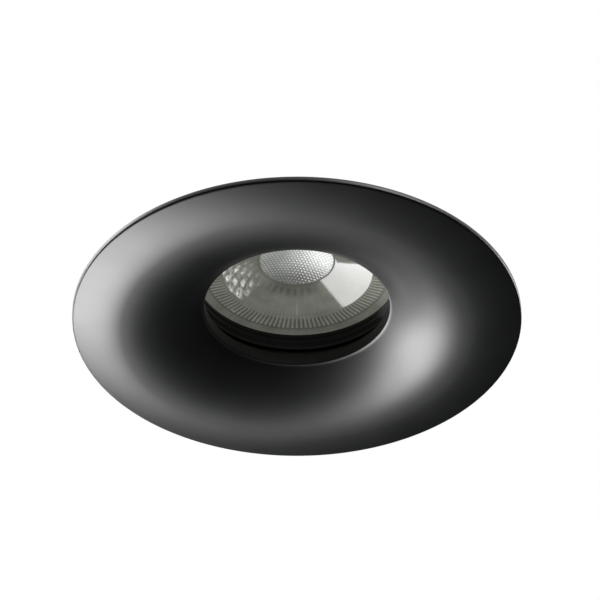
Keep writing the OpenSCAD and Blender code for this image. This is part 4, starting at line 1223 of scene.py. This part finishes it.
@dataclass
class SpringClip:
    """One sprung clip: bracket, arm, foot, pin and rivets, and a wire spring made here."""

    finishes: Finishes
    side: Side
    hinge_drop: float = 4.05
    foot_r: float = 2.2
    coil_r: float = 2.9
    wire_d: float = 1.2
    coil_pitch: float = 1.65
    coil_turns: int = 3
    fixed_leg: float = 5.5
    moving_leg: float = 12
    leg_gap: float = 0.4
    blend_half: float = 2.0

    def __post_init__(self) -> None:
        """Reads the pin's place from the frame's joints, and the arm's angle from where its foot is."""
        self.name = self.side.name.lower()
        joint = next(j for j in frame["joints"] if j["child"] == f"{self.name}_clip")
        self.pin_x, self.pin_z = abs(joint["pos_m"][0]) / MM, joint["pos_m"][2] / MM
        low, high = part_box(f"clip_foot_{self.name}")
        across = max(abs(low.x), abs(high.x)) / MM - self.foot_r - self.pin_x
        drop = self.pin_z - low.z / MM - self.foot_r
        lean = math.atan2(drop, across) - math.asin(self.hinge_drop / math.hypot(across, drop))
        self.arm_angle = math.degrees(lean)

    def path(self) -> Array:
        """The spring's middle line on the right side.

        A straight leg lies along the arm, the coil goes round the pin as [R cos a, rise, R sin a] while the
        angle falls, and the other leg stands against the bracket's back plate.

        Returns:
            The line's points.
        """
        start = 270 - self.arm_angle
        sweep = self.coil_turns * 360 + start - 180
        rise = self.coil_pitch * sweep / 360
        share = np.linspace(0, 1, 160)
        angle = np.radians(start - share * sweep)
        coil = np.column_stack([self.coil_r * np.cos(angle), (share - 0.5) * rise,
                                self.coil_r * np.sin(angle)])
        lean = math.radians(self.arm_angle)
        away = np.linspace(self.moving_leg, self.leg_gap, 14)[:, None]
        moving = coil[:1] + away * np.array([math.cos(lean), 0, -math.sin(lean)])
        fixed = coil[-1:] + np.linspace(self.leg_gap, self.fixed_leg, 8)[:, None] * np.array([0, 0, 1])
        return np.concatenate([moving, coil, fixed]) + np.array([self.pin_x, 0, self.pin_z])

    def build(self) -> None:
        """Makes the spring, which winds up between the fitting and the arm, and dresses the clip's nodes."""
        turn = np.array([self.side.value, self.side.value, 1])
        spring = wire(f"clip_wire_{self.name}", self.path() * turn, self.wire_d / 2, np.array([0.0, 1, 0]))
        self.finishes.on(spring, "spring_wire")
        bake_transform(spring)
        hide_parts(f"clip_spring_{self.name}")
        LOG.info("%s bends between the fitting and the %s clip", spring.name, self.name)
        self.finishes.dress({
            f"clip_bracket_{self.name}": "zinc_plate", f"clip_rivets_{self.name}": "bright_steel",
            f"clip_pin_{self.name}": "bright_steel", f"clip_arm_{self.name}": "zinc_plate",
            f"clip_foot_{self.name}": "foot_rubber"})


@dataclass
class TerminalBox:
    """The box behind the lamp: bracket, box, lid, terminal block and cable entry."""

    finishes: Finishes
    nodes: dict[str, str] = field(default_factory=lambda: {
        "box_bracket": "zinc_plate", "bracket_screws": "bright_steel", "terminal_box": "box_nylon",
        "box_screws": "bright_steel", "terminal_lid": "box_nylon", "lid_pin": "bright_steel",
        "lid_screw": "bright_steel", "terminal_block": "white_nylon", "terminal_clamps": "brass",
        "terminal_screws": "bright_steel", "cable_grommet": "foot_rubber", "cable_clamp": "box_nylon",
        "clamp_screws": "bright_steel"})

    def build(self) -> None:
        """Dresses the box's nodes."""
        self.finishes.dress(self.nodes)


# ---- the studio

LAMP_WATTS = 4  # for each square metre of a soft lamp that looks white


@dataclass
class Studio:
    """Camera, lamps, pale floor and world. Its lengths are metres."""

    elevation: float = -37.656
    distance: float = 0.7
    focal: float = 171.4
    sensor: float = 36
    centre_px: tuple[float, float] = (296.9, 327.15)
    target_z: float = -0.0015
    key_way: tuple[float, float, float] = (-0.502, 0.579, -0.643)
    key_distance: float = 1.1
    key_half_angle: float = 20.3
    key_radiance: float = 13.5
    top_distance: float = 1.6
    top_lamps: tuple[tuple[str, tuple[float, float, float], float, float], ...] = (
        ("top_right", (0.6, -0.55, 0.75), 1.0, 4.0), ("top_left", (-0.75, 0.35, 0.7), 1.0, 4.0),
        ("back_right", (0.85, 0.55, 0.4), 0.8, 6.0), ("back_left", (-0.8, 0.75, 0.35), 0.8, 4.0))
    floor_z: float = -2.5
    floor_half: float = 5.0
    floor_dark: Colour = (0.1, 0.1, 0.1)
    floor_pale: Colour = (0.12, 0.12, 0.12)
    floor_roughness: float = 0.8
    ambient: float = 0.22
    low_glow: float = 0.01
    glow_heights: tuple[float, float] = (0.35, 0.85)

    def camera(self) -> None:
        """Looks up at the fitting from below, at the photograph's angle, with the fitting at its place."""
        data = bpy.data.cameras.new("camera")
        data.lens, data.sensor_width, data.sensor_fit = self.focal, self.sensor, "HORIZONTAL"
        data.shift_x = (IMAGE_PX / 2 - self.centre_px[0]) / IMAGE_PX
        data.shift_y = (self.centre_px[1] - IMAGE_PX / 2) / IMAGE_PX
        camera = bpy.data.objects.new("camera", data)
        angle = math.radians(self.elevation)
        back = Vector((0, -math.cos(angle), math.sin(angle)))
        camera.location = Vector((0, 0, self.target_z)) + back * self.distance
        camera.rotation_euler = (-back).to_track_quat("-Z", "Y").to_euler()
        bpy.context.scene.collection.objects.link(camera)
        bpy.context.scene.camera = camera

    def soft_lamp(self, name: str, way: Sequence[float], distance: float, size: float,
                  radiance: float) -> None:
        """Adds a round soft lamp that faces the fitting and that the camera doesn't see.

        Args:
            name: The lamp's name.
            way: The direction from the fitting to the lamp.
            distance: How far away it is.
            size: Its diameter.
            radiance: How bright it looks; 1 looks white.
        """
        data = bpy.data.lights.new(name, "AREA")
        data.shape, data.size = "DISK", size
        data.energy = LAMP_WATTS * radiance * math.pi * (size / 2) ** 2
        lamp = bpy.data.objects.new(name, data)
        towards = Vector(way).normalized()
        lamp.location = towards * distance
        lamp.rotation_euler = towards.to_track_quat("Z", "Y").to_euler()
        lamp.visible_camera = False
        bpy.context.scene.collection.objects.link(lamp)

    def floor(self) -> None:
        """A plain pale floor far below, which lamps light and which looks pale to the camera."""
        half = self.floor_half
        corners = np.array([(x * half, y * half, self.floor_z)
                            for x, y in ((-1, -1), (1, -1), (1, 1), (-1, 1))]) / MM
        plane = make_piece("floor", corners, np.array([[0, 1, 2, 3]]))
        material = bpy.data.materials.new("pale_floor")
        material.use_nodes = True
        tree = Tree(material.node_tree)
        shader = material.node_tree.nodes["Principled BSDF"]
        place = tree.add("TexCoord").outputs["Object"]
        mottled = tree.mix(tree.noise(place, 3, 3), self.floor_dark, self.floor_pale)
        tree.put(shader.inputs["Base Color"], mottled)
        tree.put(shader.inputs["Roughness"], self.floor_roughness)
        tree.put(shader.inputs["Emission Color"], (1, 1, 1, 1))
        tree.put(shader.inputs["Emission Strength"], tree.add("LightPath").outputs["Is Camera Ray"])
        plane.data.materials.append(material)

    def world(self) -> None:
        """White to the camera everywhere, white above and dim below in reflections, and a soft fill."""
        world = bpy.data.worlds.new("studio")
        bpy.context.scene.world = world
        world.use_nodes = True
        tree = Tree(world.node_tree)
        path = tree.add("LightPath").outputs
        place = tree.add("TexCoord").outputs["Generated"]
        height = tree.add("SeparateXYZ", {0: place}).outputs["Z"]
        shown = tree.ramp(height, *self.glow_heights, self.low_glow, 1.0)
        mirrored = tree.math("MAXIMUM", path["Is Glossy Ray"], path["Is Transmission Ray"])
        fill = tree.math("ADD", tree.times(mirrored, shown),
                         tree.times(tree.math("SUBTRACT", 1.0, mirrored), self.ambient))
        strength = tree.math("MAXIMUM", fill, path["Is Camera Ray"])
        background = world.node_tree.nodes["Background"]
        tree.put(background.inputs["Color"], (1, 1, 1, 1))
        tree.put(background.inputs["Strength"], strength)

    def build(self) -> None:
        """Makes the camera, the lamps, the floor and the world."""
        self.camera()
        key_size = 2 * self.key_distance * math.tan(math.radians(self.key_half_angle))
        self.soft_lamp("key", self.key_way, self.key_distance, key_size, self.key_radiance)
        for name, way, size, radiance in self.top_lamps:
            self.soft_lamp(name, way, self.top_distance, size, radiance)
        self.floor()
        self.world()
        bpy.context.scene.view_settings.view_transform = "Standard"


def main() -> None:
    """Builds the studio and the fitting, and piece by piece."""
    logging.basicConfig(level=logging.INFO, format="%(name)s: %(message)s")
    Studio().build()
    finishes = Finishes()
    assemblies = [Trim(finishes), LampSeal(finishes), Lens(finishes), Lamp(finishes),
                  SpringClip(finishes, Side.RIGHT), SpringClip(finishes, Side.LEFT), TerminalBox(finishes)]
    for assembly in assemblies:
        assembly.build()
        LOG.info("%s is done", type(assembly).__name__)


if __name__ == "__main__":
    main()
